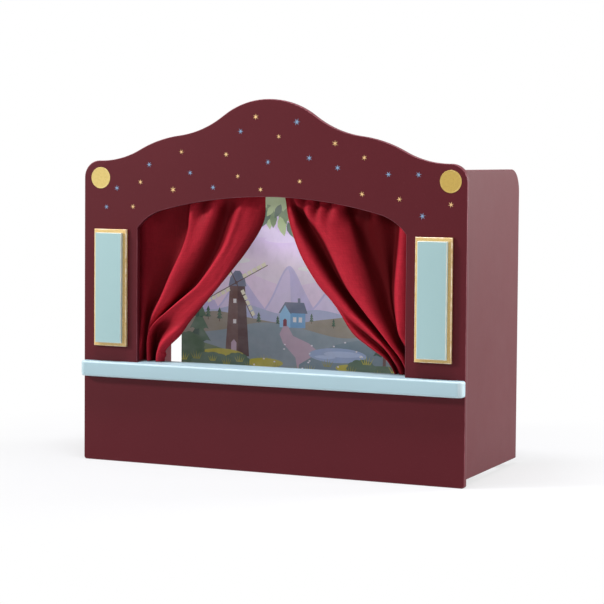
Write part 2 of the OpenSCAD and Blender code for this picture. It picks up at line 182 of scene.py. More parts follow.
def setCamera(c):
    yaw, pitch, roll = (math.radians(c[k]) for k in ("yaw", "pitch", "roll"))
    ahead = Vector((-math.sin(yaw) * math.cos(pitch), math.cos(yaw) * math.cos(pitch), -math.sin(pitch)))
    right = Vector((math.cos(yaw), math.sin(yaw), 0))
    up = right.cross(ahead)
    tiltedRight = math.cos(roll) * right + math.sin(roll) * up
    tiltedUp = math.cos(roll) * up - math.sin(roll) * right
    lens = bpy.data.cameras.new("photoCamera")
    lens.sensor_width = c["sensor"]
    lens.lens = c["sensor"] * c["focal"] / c["frame"]
    lens.shift_y = (c["levelRow"] - c["frame"] / 2) / c["frame"]
    lens.clip_end = c["sees"]
    camera = addObject("photoCamera", lens)
    turn = Matrix((tiltedRight, tiltedUp, -ahead)).transposed()
    camera.matrix_world = Matrix.Translation(c["place"]) @ turn.to_4x4()
    bpy.context.scene.camera = camera


setCamera(photoCamera)
print("camera set")


# Shader tools

def addNode(tree, kind, inputs=None, **settings):
    node = tree.nodes.new(kind)
    for key, value in settings.items():
        setattr(node, key, value)
    for key, value in (inputs or {}).items():
        if isinstance(value, bpy.types.NodeSocket):
            tree.links.new(value, node.inputs[key])
        else:
            node.inputs[key].default_value = value
    return node


def newFinish(name, colour, roughness, sockets=None):
    material = bpy.data.materials.new(name)
    material.use_nodes = True
    shader = material.node_tree.nodes["Principled BSDF"]
    shader.inputs["Base Color"].default_value = (*colour, 1)
    shader.inputs["Roughness"].default_value = roughness
    for key, value in (sockets or {}).items():
        shader.inputs[key].default_value = value
    return material, material.node_tree, shader


def grain(tree, place, size, stretch=(1, 1, 1), detail=3.0):
    # noise whose features are about size metres wide, from 0 to 1
    scaled = addNode(tree, "ShaderNodeMapping", {"Vector": place, "Scale": stretch}).outputs[0]
    inputs = {"Vector": scaled, "Scale": 0.5 / size, "Detail": detail, "Roughness": 0.55}
    return addNode(tree, "ShaderNodeTexNoise", inputs).outputs["Fac"]


def spread(tree, value, low, high, fromLow=0.25, fromHigh=0.75):
    # low to high as value runs from fromLow to fromHigh, which hold most of a grain's noise
    inputs = {"Value": value, "From Min": fromLow, "From Max": fromHigh, "To Min": low, "To Max": high}
    return addNode(tree, "ShaderNodeMapRange", inputs).outputs[0]


def blendColours(tree, share, a, b):
    node = addNode(tree, "ShaderNodeMix", data_type="RGBA")
    for socket, value in ((node.inputs[0], share), (node.inputs[6], a), (node.inputs[7], b)):
        if isinstance(value, bpy.types.NodeSocket):
            tree.links.new(value, socket)
        else:
            socket.default_value = (*value, 1) if isinstance(value, tuple) else value
    return node.outputs[2]


def calculate(tree, way, a, b):
    return addNode(tree, "ShaderNodeMath", {0: a, 1: b}, operation=way).outputs[0]


def makeBumps(tree, shader, height, depth):
    bump = addNode(tree, "ShaderNodeBump", {"Height": height, "Distance": depth, "Strength": 1.0})
    tree.links.new(bump.outputs[0], shader.inputs["Normal"])


def placeOf(tree, kind="Object"):
    return addNode(tree, "ShaderNodeTexCoord").outputs[kind]


def wire(tree, shader, tone, rough=None):
    tree.links.new(tone, shader.inputs["Base Color"])
    if rough is not None:
        tree.links.new(rough, shader.inputs["Roughness"])


edgeHighlightAndWearMask = {
    "samples": 4,
    # cosines of the angles over which the pale edge paint (painted highlight and wear) starts or ends:
    # at an edge, on an arris, on a face
    "edge": (0.80, 0.985), "arris": (0.10, 0.30), "face": (0.90, 0.985),
}


def edgeHighlightAndWear(tree, radius, w=edgeHighlightAndWearMask):
    # 0 on flat faces, 1 where a sharp edge turns within radius and all over an arris along a front;
    # there a pale colour is painted, as a highlight on the arris and as wear
    turned = addNode(tree, "ShaderNodeBevel", {"Radius": radius}, samples=w["samples"]).outputs[0]
    flat = addNode(tree, "ShaderNodeNewGeometry").outputs["Normal"]
    alike = addNode(tree, "ShaderNodeVectorMath", {0: turned, 1: flat}, operation="DOT_PRODUCT")
    near = spread(tree, alike.outputs["Value"], 1, 0, *w["edge"])
    toFront = calculate(tree, "ABSOLUTE", addNode(tree, "ShaderNodeSeparateXYZ", {0: flat}).outputs["Y"], 0)
    rounded = calculate(tree, "MULTIPLY", spread(tree, toFront, 0, 1, *w["arris"]),
                        spread(tree, toFront, 1, 0, *w["face"]))
    return calculate(tree, "MAXIMUM", near, rounded)


# Paints and other finishes. The grain of each is given by the width of its features, in metres,
# and a band is the stretch of the noise over which a feature grows from nothing to its full strength.

boardPaints = {
    # wander is how much the tone varies; edge is the colour, and the key after it the amount, of the
    # pale paint on edges: a painted highlight on the arrises, and wear
    "burgundyPaint": {
        "colour": paint(83, 22, 30), "wander": 0.03, "edge": paint(186, 118, 128), "highlightAndWear": 0.42,
        "rough": 0.42, "gloss": 0.14,
    },
    "paleBluePaint": {
        "colour": paint(160, 187, 194), "wander": 0.02, "edge": paint(222, 234, 236), "highlightAndWear": 0.45,
        "rough": 0.42, "gloss": 0.4,
    },
    "skyBluePaint": {
        "colour": paint(153, 184, 184), "wander": 0.02, "edge": paint(250, 240, 214), "highlightAndWear": 1.0,
        "rough": 0.45, "gloss": 0.4,
    },
}

boardGrain = {
    # the pale edge paint, a painted highlight on the arrises as well as wear, lies in patches of the third
    # size
    "cloud": 0.06, "speck": 0.0012, "highlightAndWearSize": 0.010, "sheen": 0.025, "roller": 0.0016, "brush": 0.006,
    "specks": 0.05,             # how strongly the specks show
    "speckBand": (0.62, 0.80),
    "leastHighlightAndWear": 0.3,           # share of the pale edge paint where it is thinnest
    "uneven": 0.03,             # how much the roughness varies
    "edgeRadius": 0.0016, "depth": 0.00005,
}


def paintedBoard(name, p, g):
    material, tree, shader = newFinish(name, p["colour"], p["rough"], {"Specular IOR Level": p["gloss"]})
    place = placeOf(tree)
    darker, lighter = shade(p["colour"], 1 - p["wander"]), shade(p["colour"], 1 + p["wander"])
    tone = blendColours(tree, spread(tree, grain(tree, place, g["cloud"]), 0, 1), darker, lighter)
    speck = spread(tree, grain(tree, place, g["speck"], detail=2), 0, 1, *g["speckBand"])
    tone = blendColours(tree, calculate(tree, "MULTIPLY", speck, g["specks"]), tone, p["edge"])
    # a pale colour is painted on edges and arrises in patches: a painted highlight, and wear
    highlightAndWearPatches = grain(tree, place, g["highlightAndWearSize"], detail=4)
    highlightAndWearPatches = spread(tree, highlightAndWearPatches, g["leastHighlightAndWear"] * p["highlightAndWear"], p["highlightAndWear"])
    highlightAndWear = calculate(tree, "MULTIPLY", edgeHighlightAndWear(tree, g["edgeRadius"]), highlightAndWearPatches)
    tone = blendColours(tree, highlightAndWear, tone, p["edge"])
    sheen = grain(tree, place, g["sheen"])
    wire(tree, shader, tone, spread(tree, sheen, p["rough"] - g["uneven"], p["rough"] + g["uneven"]))
    roller = grain(tree, place, g["roller"], detail=2)
    makeBumps(tree, shader, calculate(tree, "ADD", roller, grain(tree, place, g["brush"])), g["depth"])
    return material


goldPaints = {
    # colour, its dark flecks, the pale paint on its edges (a painted highlight and wear), how metallic it
    # is
    "goldPaint": {
        "colour": paint(214, 182, 118), "dark": paint(188, 144, 80), "edge": paint(255, 246, 228),
        "metallic": 0.15,
    },
    "goldPrint": {
        "colour": paint(200, 176, 98), "dark": paint(188, 163, 86), "edge": paint(212, 190, 118),
        "metallic": 0.10,
    },
    # the right disc's gold: the same print painted darker, as painted shade for the light falling off to
    # the right
    "goldPrintPaintedShade": {
        "colour": paint(184, 154, 70), "dark": paint(172, 142, 62), "edge": paint(198, 172, 96),
        "metallic": 0.10,
    },
    "goldStar": {
        "colour": paint(226, 186, 122), "dark": paint(206, 160, 104), "edge": paint(232, 198, 150),
        "metallic": 0.05,
    },
    "blueStar": {
        "colour": paint(118, 148, 178), "dark": paint(100, 130, 162), "edge": paint(130, 158, 186),
        "metallic": 0.0,
    },
}

goldGrain = {
    # the pale edge paint, a painted highlight as well as wear, lies in patches of the third size
    "fleck": 0.0011, "cloud": 0.012, "highlightAndWearSize": 0.004,
    "flecks": (0.15, 0.75), "highlightAndWearPatches": (0.05, 0.85),               # least and most
    "fleckBand": (0.40, 0.66), "highlightAndWearBand": (0.35, 0.62),
    "rough": 0.42, "roughSpan": (0.34, 0.55),
    "edgeRadius": 0.0018, "depth": 0.00006,
}


def goldFinish(name, p, g):
    material, tree, shader = newFinish(name, p["colour"], g["rough"], {"Metallic": p["metallic"]})
    place = placeOf(tree)
    fleck = spread(tree, grain(tree, place, g["fleck"], detail=2), 0, 1, *g["fleckBand"])
    cloudy = spread(tree, grain(tree, place, g["cloud"]), *g["flecks"])
    tone = blendColours(tree, calculate(tree, "MULTIPLY", fleck, cloudy), p["colour"], p["dark"])
    # a pale colour is painted on edges and arrises in patches: a painted highlight, and wear
    highlightAndWearPatches = spread(tree, grain(tree, place, g["highlightAndWearSize"], detail=4), *g["highlightAndWearPatches"], *g["highlightAndWearBand"])
    highlightAndWear = calculate(tree, "MULTIPLY", edgeHighlightAndWear(tree, g["edgeRadius"]), highlightAndWearPatches)
    tone = blendColours(tree, highlightAndWear, tone, p["edge"])
    wire(tree, shader, tone, spread(tree, fleck, *g["roughSpan"], 0, 1))
    makeBumps(tree, shader, fleck, g["depth"])
    return material


beechWood = {
    "light": paint(222, 188, 144), "dark": paint(186, 142, 98), "rough": 0.5,
    "ring": 0.0022, "pore": 0.0006,
    "pores": 0.35, "poreShade": 0.6, "poreBand": (0.55, 0.7),   # how strongly they show, and how dark
    "long": 0.06,               # the rings' width as a share of their length
    "finer": 0.6,               # the pores' stretch as a share of the rings'
    "depth": 0.00006,
}


def beechFinish(name, along, w):
    # along is the direction of the grain: 0 for X, 1 for Y
    material, tree, shader = newFinish(name, w["light"], w["rough"])
    place = placeOf(tree)
    stretch = tuple(w["long"] if axis == along else 1 for axis in range(3))
    ring = grain(tree, place, w["ring"], stretch)
    pore = grain(tree, place, w["pore"], tuple(s * w["finer"] for s in stretch))
    tone = blendColours(tree, spread(tree, ring, 0, 1), w["light"], w["dark"])
    pore = spread(tree, pore, 0, w["pores"], *w["poreBand"])
    tone = blendColours(tree, pore, tone, shade(w["dark"], w["poreShade"]))
    wire(tree, shader, tone)
    makeBumps(tree, shader, ring, w["depth"])
    return material


clothWeave = {
    "colour": paint(172, 37, 51), "valley": paint(74, 4, 8),   # the colour painted into the gathers' valleys as shade
    "thread": (0.80, 1.16),     # how dark and how light the threads run
    "threadBand": (0.35, 0.65),
    # width of the threads, and how they are drawn out along the cloth
    "weft": (0.00045, (0.07, 1, 1)), "warp": (0.00040, (1, 0.09, 1)), "slub": (0.0014, (0.05, 1, 1)),
    "slubs": 0.8,               # how far the slubs stand out, as a share of the threads
    "rough": 0.58, "roughSpan": (0.50, 0.68), "depth": 0.00020,
    "sheen": {
        "Sheen Weight": 0.05, "Sheen Roughness": 0.30, "Sheen Tint": (1.0, 0.30, 0.35, 1),
        "Specular IOR Level": 0.05,
    },
}


def clothFinish(name, w):
    material, tree, shader = newFinish(name, w["colour"], w["rough"], w["sheen"])
    place = placeOf(tree, "UV")                 # metres across and down the cut cloth
    weft, warp = (grain(tree, place, *w[key], detail=2) for key in ("weft", "warp"))
    slub = grain(tree, place, *w["slub"], detail=1)
    thread = calculate(tree, "MULTIPLY", calculate(tree, "ADD", weft, warp), 0.5)
    dark, light = (shade(w["colour"], share) for share in w["thread"])
    tone = blendColours(tree, spread(tree, thread, 0, 1, *w["threadBand"]), dark, light)
    # painted shade: the valleys of the folds take a darker colour, by a mesh attribute
    valley = addNode(tree, "ShaderNodeAttribute", attribute_name="valley").outputs["Fac"]
    tone = blendColours(tree, valley, tone, w["valley"])
    wire(tree, shader, tone, spread(tree, thread, *w["roughSpan"]))
    height = calculate(tree, "ADD", thread, calculate(tree, "MULTIPLY", slub, w["slubs"]))
    makeBumps(tree, shader, height, w["depth"])
    return material


printInk = {
    "card": paint(200, 190, 210), "rough": 0.55, "roughSpan": (0.48, 0.62),
    "wash": {"colour": paint(236, 232, 236), "size": 0.022, "stretch": (1, 1, 1.6), "detail": 5,
             "shows": 0.16, "band": (0.35, 0.70)},
    "dab": {"colour": paint(92, 88, 110), "size": 0.008, "stretch": (1.5, 1, 1), "detail": 4,
            "shows": 0.09, "band": (0.45, 0.75)},
    "sheen": 0.004, "tooth": 0.0008, "depth": 0.00005,
}


def printFinish(name, p):
    # the printed scene's inks lie in the mesh, and the board's tooth breaks them up
    material, tree, shader = newFinish(name, p["card"], p["rough"])
    place = placeOf(tree)
    tone = addNode(tree, "ShaderNodeVertexColor", layer_name="ink").outputs["Color"]
    for patch in (p["wash"], p["dab"]):
        patches = grain(tree, place, patch["size"], patch["stretch"], patch["detail"])
        patches = spread(tree, patches, 0, patch["shows"], *patch["band"])
        tone = blendColours(tree, patches, tone, patch["colour"])
    wire(tree, shader, tone, spread(tree, grain(tree, place, p["sheen"]), *p["roughSpan"]))
    makeBumps(tree, shader, grain(tree, place, p["tooth"], detail=2), p["depth"])
    return material


zinc = {
    "colour": paint(176, 172, 160), "bright": paint(186, 182, 170), "dull": paint(150, 144, 128),
    "spangle": 0.0012, "scratch": 0.0006, "rough": 0.32, "roughSpan": (0.24, 0.42),
}


def steelFinish(name, z):
    material, tree, shader = newFinish(name, z["colour"], z["rough"], {"Metallic": 1.0})
    place = placeOf(tree)
    tone = blendColours(tree, spread(tree, grain(tree, place, z["spangle"]), 0, 1), z["bright"], z["dull"])
    wire(tree, shader, tone, spread(tree, grain(tree, place, z["scratch"]), *z["roughSpan"]))
    return material


finishes = {name: paintedBoard(name, p, boardGrain) for name, p in boardPaints.items()}
finishes.update({name: goldFinish(name, p, goldGrain) for name, p in goldPaints.items()})
finishes["beechAlongX"] = beechFinish("beechAlongX", 0, beechWood)
finishes["beechAlongY"] = beechFinish("beechAlongY", 1, beechWood)
finishes["crimsonCloth"] = clothFinish("crimsonCloth", clothWeave)
finishes["scenePrint"] = printFinish("scenePrint", printInk)
finishes["zincSteel"] = steelFinish("zincSteel", zinc)
print("finishes mixed:", len(finishes))


# The boards, rails and dowels keep their shapes and get their paint

boardEdges = {
    "merge": 0.00001,           # metres
    "softAngle": 50, "bevelAngle": 40,          # degrees: above these, shading breaks and a bevel is cut
    "bevelSteps": 3,
}

partFinishes = {
    # a part, also where it is one of a left and right pair: its finish, and how far its sharp edges
    # are taken off, in millimetres
    "front_board": ("burgundyPaint", 0),
    "side_board": ("burgundyPaint", 0),
    "stage_ledge": ("paleBluePaint", 0),
    "plaque_frame": ("goldPaint", 0),
    "plaque_panel": ("skyBluePaint", 0),
    "corner_batten": ("burgundyPaint", 0.8),
    "ledge_cleat": ("burgundyPaint", 0.8),
    "lower_rear_rail": ("burgundyPaint", 0.6),
    "upper_rear_rail": ("burgundyPaint", 0.6),
    "rod_bracket": ("burgundyPaint", 0.4),
    "rail_dowels": ("beechAlongX", 0),
    "curtain_rod": ("beechAlongX", 0.5),
    "tieback_peg": ("beechAlongY", 0),
}


def softenedGroup(e):
    # joins the faces that were packed apart, and shades across all but the sharp edges
    group = bpy.data.node_groups.new("softenedEdges", "GeometryNodeTree")
    group.interface.new_socket("Geometry", in_out="INPUT", socket_type="NodeSocketGeometry")
    group.interface.new_socket("Geometry", in_out="OUTPUT", socket_type="NodeSocketGeometry")

    def step(kind, geometry, inputs, **settings):
        return addNode(group, kind, {"Geometry": geometry, **inputs}, **settings).outputs[0]

    source = group.nodes.new("NodeGroupInput").outputs[0]
    joined = step("GeometryNodeMergeByDistance", source, {"Distance": e["merge"]})
    plain = step("GeometryNodeRemoveAttribute", joined, {"Name": "custom_normal"})
    soft = step("GeometryNodeSetShadeSmooth", plain, {"Shade Smooth": True})
    angle = group.nodes.new("GeometryNodeInputMeshEdgeAngle").outputs[0]
    limit = math.radians(e["softAngle"])
    sharp = addNode(group, "FunctionNodeCompare", {0: angle, 1: limit}, operation="GREATER_THAN").outputs[0]
    kept = step("GeometryNodeSetShadeSmooth", soft, {"Selection": sharp, "Shade Smooth": False},
                domain="EDGE")
    output = group.nodes.new("NodeGroupOutput")
    group.links.new(kept, output.inputs[0])
    return group


def finishPart(obj, finish, edge, group, e):
    for slot in obj.material_slots:
        slot.material = finishes[finish]
    obj.modifiers.new("softened", "NODES").node_group = group
    if edge:
        bevel = obj.modifiers.new("arris", "BEVEL")
        bevel.width = edge * mm
        bevel.segments = e["bevelSteps"]
        bevel.limit_method = "ANGLE"
        bevel.angle_limit = math.radians(e["bevelAngle"])
    weighted = obj.modifiers.new("flatFaces", "WEIGHTED_NORMAL")
    weighted.keep_sharp = True


softened = softenedGroup(boardEdges)
for part, (partFinish, arris) in partFinishes.items():
    for nodeName in (part, "left_" + part, "right_" + part):
        if nodeName in nodes:
            finishPart(nodes[nodeName], partFinish, arris, softened, boardEdges)
print("boards, rails and dowels painted")


# Prints on the front: two gold discs and scattered stars, each a thin film of paint

printSunk = 0.00005             # a print reaches so far into the board

discPrint = {
    # the right disc takes the darker gold print: painted shade
    "places": {"leftDisc": (-0.2635, 0.4055, "goldPrint"), "rightDisc": (0.2664, 0.4066, "goldPrintPaintedShade")},
    "radius": 0.0152,
    "film": 0.00018,
    "rimWidth": 0.0011, "rimRise": 0.00010, "rimRound": 0.0002,
    "rimFoot": 0.6,             # where its rounding starts, as a share of the film
    "rimFall": 1.3,             # where it has fallen to the film, as a share of its width
    "steps": 72,
}

starPrint = {
    "film": 0.00016,
    "points": 6,
    "waist": 0.27,              # inner corners, as a share of the outer radius
    "seed": 11,
    # x, z and radius of each star in millimetres
    "goldStar": [
        (-19, 492, 4.6), (16, 465, 3.6), (-134, 443, 3.8), (-199, 400, 4.0), (-147, 390, 4.8),
        (-11, 392, 3.8), (-211, 365, 3.8), (100, 456, 4.6), (143, 437, 4.2), (140, 388, 4.2),
        (194, 382, 4.0), (267, 376, 4.2), (-64, 440, 4.0), (48, 404, 3.8), (-46, 410, 3.6),
    ],
    "blueStar": [
        (43, 485, 5.2), (-42, 472, 4.4), (-185, 425, 4.4), (-120, 414, 4.0), (-237, 391, 4.4),
        (-84, 394, 4.4), (-254, 364, 3.8), (104, 423, 4.6), (178, 415, 4.4), (221, 415, 4.4),
        (227, 360, 4.8), (0, 430, 4.2), (62, 436, 4.6),
    ],
}


def printDisc(name, place, d):
    x, z, finish = place
    top = d["film"] + d["rimRise"]
    # how far in from the edge, and height above the board
    profile = [(0, -printSunk), (0, d["film"] * d["rimFoot"]), (d["rimRound"], top), (d["rimWidth"], top),
               (d["rimFall"] * d["rimWidth"], d["film"])]
    rings = []
    for inward, lift in profile:
        reach = d["radius"] - inward
        rings.append([(x + reach * c, frontY - lift, z + reach * s) for c, s in roundTurn(d["steps"])])
    disc = makeObject(name, *closedSweep(rings), finishes[finish])
    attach(disc, "theatre")


def starOutline(centre, radius, turn, s):
    outline = []
    for i in range(2 * s["points"]):
        reach = radius * (1 if i % 2 == 0 else s["waist"])
        angle = turn + math.pi * i / s["points"]
        outline.append((centre[0] + reach * math.cos(angle), centre[1] + reach * math.sin(angle)))
    return outline


def printStars(colour, s, draws):
    parts = []
    for x, z, radius in s[colour]:
        turn = draws.uniform(0, 1)              # radians
        outline = starOutline((x * mm, z * mm), radius * mm, turn, s)
        parts.append(prism(outline, frontY - s["film"], frontY + printSunk))
    stars = makeObject(colour + "s", *joinParts(parts), finishes[colour])
    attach(stars, "theatre")


for discName, discPlace in discPrint["places"].items():
    printDisc(discName, discPlace, discPrint)
starDraws = random.Random(starPrint["seed"])
for starColour in ("goldStar", "blueStar"):
    printStars(starColour, starPrint, starDraws)
print("discs and stars printed")


# The backdrop: a thin board printed with a made-up landscape of mountains, hills, firs, a windmill,
# a cottage and a pond under a garland of leaves. Its places and sizes are in millimetres.

inks = {
    "sky": paint(201, 183, 216), "skyLow": paint(191, 176, 210), "cloud": paint(206, 193, 220),
    "peak": paint(166, 160, 187), "peakLight": paint(180, 171, 196), "range": paint(148, 154, 176),
    "hillOlive": paint(126, 120, 106), "hillBlue": paint(100, 118, 126), "hillGrey": paint(116, 130, 136),
    "grass": paint(96, 112, 84), "grassDark": paint(72, 94, 72),
    "straw": paint(158, 152, 58), "strawDark": paint(132, 128, 52), "mauve": paint(160, 142, 154),
    "fir": paint(74, 98, 78), "firDark": paint(56, 78, 66), "bark": paint(92, 70, 64),
    "barkDark": paint(74, 56, 54), "leafPale": paint(160, 178, 134), "leaf": paint(112, 132, 98),
    "leafDark": paint(84, 104, 88), "wall": paint(126, 164, 188), "wallShade": paint(98, 140, 172),
    "roof": paint(92, 100, 116), "door": paint(112, 62, 70), "pane": paint(226, 214, 190),
    "water": paint(132, 150, 176), "waterLight": paint(154, 168, 190), "petal": paint(218, 190, 200),
    "card": paint(206, 190, 168), "rear": paint(214, 208, 216),
}

landscape = {
    "centre": (0, 233.5), "size": (472, 371), "corner": 5,      # the board
    # height, and how much lighter the inks are there than they look on the shaded stage; how this
    # changes with height is painted light, which evens out the lamps' uneven light on the board
    "lift": [(150, 1.9), (200, 1.9), (260, 1.88), (292, 1.8), (302, 1.66), (315, 1.3), (326, 1.2),
             (345, 1.05), (400, 0.98)],
    "seed": 5,
    "ridges": {
        # ink, and points of the skyline from left to right
        "haze": ("skyLow", [(-240, 250), (-150, 268), (-60, 246), (40, 262), (140, 240), (240, 256)]),
        "range": ("range", [(-240, 214), (-190, 206), (-130, 216), (-70, 204), (-10, 212), (60, 202),
                            (130, 212), (190, 204), (240, 210)]),
        "farHill": ("hillOlive", [(-240, 192), (-180, 204), (-120, 196), (-60, 190), (0, 198), (70, 206),
                                  (140, 196), (240, 206)]),
        "middleHill": ("hillGrey", [(-240, 168), (-170, 176), (-100, 190), (-40, 184), (30, 172),
                                    (110, 182), (180, 176), (240, 168)]),
        "nearHill": ("hillBlue", [(-40, 130), (10, 158), (60, 170), (110, 166), (170, 172), (240, 158)]),
        "meadow": ("grass", [(-240, 160), (-200, 156), (-160, 146), (-110, 128), (-60, 118), (0, 112)]),
        "bank": ("grassDark", [(-20, 110), (40, 126), (90, 134), (150, 130), (240, 142)]),
        "verge": ("grassDark", [(-240, 96), (-120, 104), (0, 98), (120, 106), (240, 98)]),
    },
    # x, z and width
    "clouds": [(-96, 322, 62), (-70, 314, 54), (30, 300, 70), (58, 292, 50), (-150, 282, 58),
               (110, 330, 60), (-20, 272, 46), (160, 282, 66)],
    "cottage": (-72, 184, 42),
    # x, z, width and height
    "mountains": [(-58, 190, 110, 84), (22, 190, 140, 66), (-138, 190, 120, 62), (108, 190, 130, 92),
                  (190, 190, 120, 70), (-212, 190, 100, 76)],
    "windmill": (-142, 138, 40, 128),
    "stubble": [(-168, 138, 78, 20), (-96, 130, 60, 14), (44, 128, 50, 12)],
    "pond": [("water", 22, 146, 92, 22), ("waterLight", 30, 148, 60, 9), ("waterLight", 2, 143, 34, 5)],
    "bushes": [("grassDark", -226, 148, 56, 44), ("fir", -142, 130, 40, 24), ("fir", 60, 128, 44, 26),
               ("leafDark", 150, 128, 56, 34), ("leafDark", -186, 128, 62, 26),
               ("firDark", 222, 132, 60, 40)],
    # x, z and height
    "firs": [(-206, 142, 96), (96, 134, 84), (124, 130, 104), (196, 134, 124)],
    "path": [(-66, 186), (-58, 186), (-50, 172), (-24, 162), (-6, 148), (-2, 110), (-40, 110), (-46, 140),
             (-66, 160), (-72, 174)],
    # what stands or hangs in rows: how many, where the first is, how far apart they are and how far each
    # strays from there; then where they are above a line, and their heights or lengths
    "farFirs": {"count": 16, "first": -226, "apart": 30, "stray": 6, "line": 188, "above": (-3, 5),
                "height": (17, 26), "tiers": 3},
    "tufts": {"count": 22, "first": -228, "apart": 21, "stray": 7, "line": 122, "above": (-8, 14),
              "height": (10, 17)},
    "leaves": {"count": 46, "first": -240, "apart": 10.6, "stray": 3, "above": (-4, 4), "longer": (-5, 5),
               "turn": (-0.7, 0.7)},            # radians
    "petals": {"count": 26, "across": (-130, 120), "up": (118, 168), "size": (3.4, 2.4)},
    "garland": [(-236, 346), (-180, 328), (-120, 346), (-78, 350), (-30, 330), (30, 346), (90, 330),
                (160, 348), (236, 326)],
    "garlandBand": (352, 430),  # leaves cover everything between these heights
    "leafRows": ((12, 30), (2, 26), (18, 22)),  # height above the garland's line, and length of a leaf
}


def placed(x, z, wide, tall, shape):
    return [(x + a * wide, z + b * tall) for a, b in shape]


def block(left, low, right, high):
    return [(left, low), (right, low), (right, high), (left, high)]


def ellipse(x, z, width, height, steps=26):
    return [(x + width / 2 * c, z + height / 2 * s) for c, s in roundTurn(steps)]


def hill(ridge, foot=20, step=7):
    # land under a smooth ridge through (x, z) points
    left, right = ridge[0][0], ridge[-1][0]
    count = int((right - left) / step)
    across = [left + (right - left) * i / count for i in range(count, -1, -1)]
    return [(left, foot), (right, foot)] + [(x, curveAt(ridge, x)[0]) for x in across]


def cloud(x, z, width):
    return [("cloud", ellipse(x, z, width, width * 0.17)),
            ("cloud", ellipse(x + width * 0.08, z + width * 0.07, width * 0.5, width * 0.2))]


def mountain(x, z, width, height):
    ridge = [(-1, 0), (-0.55, 0.40), (-0.12, 0.95), (0.10, 1), (0.5, 0.55), (1, 0)]
    bright = [(-0.9, 0), (-0.45, 0.45), (-0.08, 0.93), (0.06, 0.8), (0.1, 0)]
    return [(ink, hill(placed(x, z, width / 2, height, shape), z - 1, 3))
            for ink, shape in (("peak", ridge), ("peakLight", bright))]


def fir(x, z, height, tiers=4):
    trunk = [(-0.03, 0), (0.03, 0), (0.02, 0.5), (-0.02, 0.5)]
    shapes = [("bark", placed(x, z, height, height, trunk))]
    for k in range(tiers):
        low = z + height * (0.16 + 0.19 * k)
        half = height * (0.21 - 0.04 * k)
        top = low + height * 0.30
        skirt = [(x + half * s, low + abs(s) * height * 0.02 + height * 0.012 * math.cos(9 * s))
                 for s in (-1, -0.66, -0.33, 0, 0.33, 0.66, 1)]
        shapes.append(("fir" if k % 2 else "firDark", skirt + [(x, top)]))
        shapes.append(("fir", [skirt[3], skirt[5], skirt[6], (x, top)]))
    return shapes


def bush(ink, x, z, width, height, draws, lobes=11):
    outline = []
    for i, (c, s) in enumerate(roundTurn(lobes * 5)):
        swell = 1 + 0.09 * abs(math.sin(math.pi * i / 5)) + draws.uniform(-0.006, 0.006)
        outline.append((x + width / 2 * swell * c, z + height / 2 * swell * s))
    return [(ink, outline)]


def cottage(x, z, width):
    parts = [
        ("wallShade", block(0, 0, 1, 0.55)),
        ("roof", block(0.70, 0.8, 0.80, 1.05)),
        ("wall", [(0, 0), (0.42, 0), (0.42, 0.55), (0.21, 0.86), (0, 0.55)]),
        ("roof", [(0.21, 0.90), (0.94, 0.90), (1.08, 0.52), (0.45, 0.52)]),
        ("roof", [(-0.05, 0.50), (0.21, 0.90), (0.47, 0.50), (0.41, 0.50), (0.21, 0.80), (0.02, 0.50)]),
        ("door", [(0.14, 0), (0.28, 0), (0.28, 0.26), (0.21, 0.32), (0.14, 0.26)]),
        ("pane", block(0.52, 0.20, 0.65, 0.38)),
        ("pane", block(0.74, 0.20, 0.87, 0.38)),
    ]
    return [(ink, placed(x, z, width, width, shape)) for ink, shape in parts]


def sail(hub, turn, reach):
    # a spar with five panes of canvas along one side
    c, s = math.cos(turn), math.sin(turn)
    flat = [("barkDark", [(0, -0.8), (reach, -0.6), (reach, 0.6), (0, 0.8)])]
    for i in range(5):
        start = reach * (0.24 + 0.15 * i)
        flat.append(("card", block(start, 0.6, start + reach * 0.12, 6.2)))
    return [(ink, [(hub[0] + a * c - b * s, hub[1] + a * s + b * c) for a, b in shape])
            for ink, shape in flat]


def windmill(x, z, width, height):
    half = width / 2
    tower = [(-1, 0), (1, 0), (0.62, 0.84), (-0.62, 0.84)]
    dim = [(0.1, 0), (1, 0), (0.62, 0.84), (0, 0.84)]
    cap = [(-0.74, 0.82), (0.74, 0.82), (0.6, 0.92), (0.2, 1), (-0.2, 1), (-0.6, 0.92)]
    door = [(-0.5, 0), (-0.05, 0), (-0.05, 0.5), (-0.27, 0.62), (-0.5, 0.5)]
    shapes = [(ink, placed(x, z, half, height, shape))
              for ink, shape in (("bark", tower), ("barkDark", dim), ("roof", cap))]
    shapes.append(("mauve", placed(x, z, half, width, door)))
    for share in (0.38, 0.62):
        shapes.append(("pane", placed(x, z + height * share, half, width, block(-0.34, 0, -0.08, 0.16))))
    hub, reach = (x - half * 0.1, z + height * 0.86), height * 0.46
    for k in range(4):
        shapes += sail(hub, math.radians(28 + 90 * k), reach)
    shapes.append(("barkDark", ellipse(*hub, 5, 5, 12)))
    return shapes


def tuft(x, z, height, ink, draws):
    blades = []
    for k in (-2, -1, 0, 1, 2):
        lean = k * 0.22 + draws.uniform(-0.05, 0.05)
        root = x + k * height * 0.16
        blades.append((ink, [(root - height * 0.07, z), (root + height * 0.07, z),
                             (root + lean * height, z + height * (1 - 0.12 * abs(k)))]))
    return blades


def leaf(x, z, length, turn, ink):
    # one pointed leaf that hangs from (x, z)
    half = [(0, 0), (0.2, 0.17), (0.45, 0.24), (0.75, 0.15), (1, 0)]        # down the leaf, and out
    outline = []
    for t, w in half + [(t, -w) for t, w in half[-2:0:-1]]:
        across, down = w * length, t * length
        outline.append((x + across * math.cos(turn) + down * math.sin(turn),
                        z + across * math.sin(turn) - down * math.cos(turn)))
    return [(ink, outline)]


def inRow(row, draws):
    # number and place along the picture of each thing in a row
    for i in range(row["count"]):
        yield i, row["first"] + row["apart"] * i + draws.uniform(-row["stray"], row["stray"])


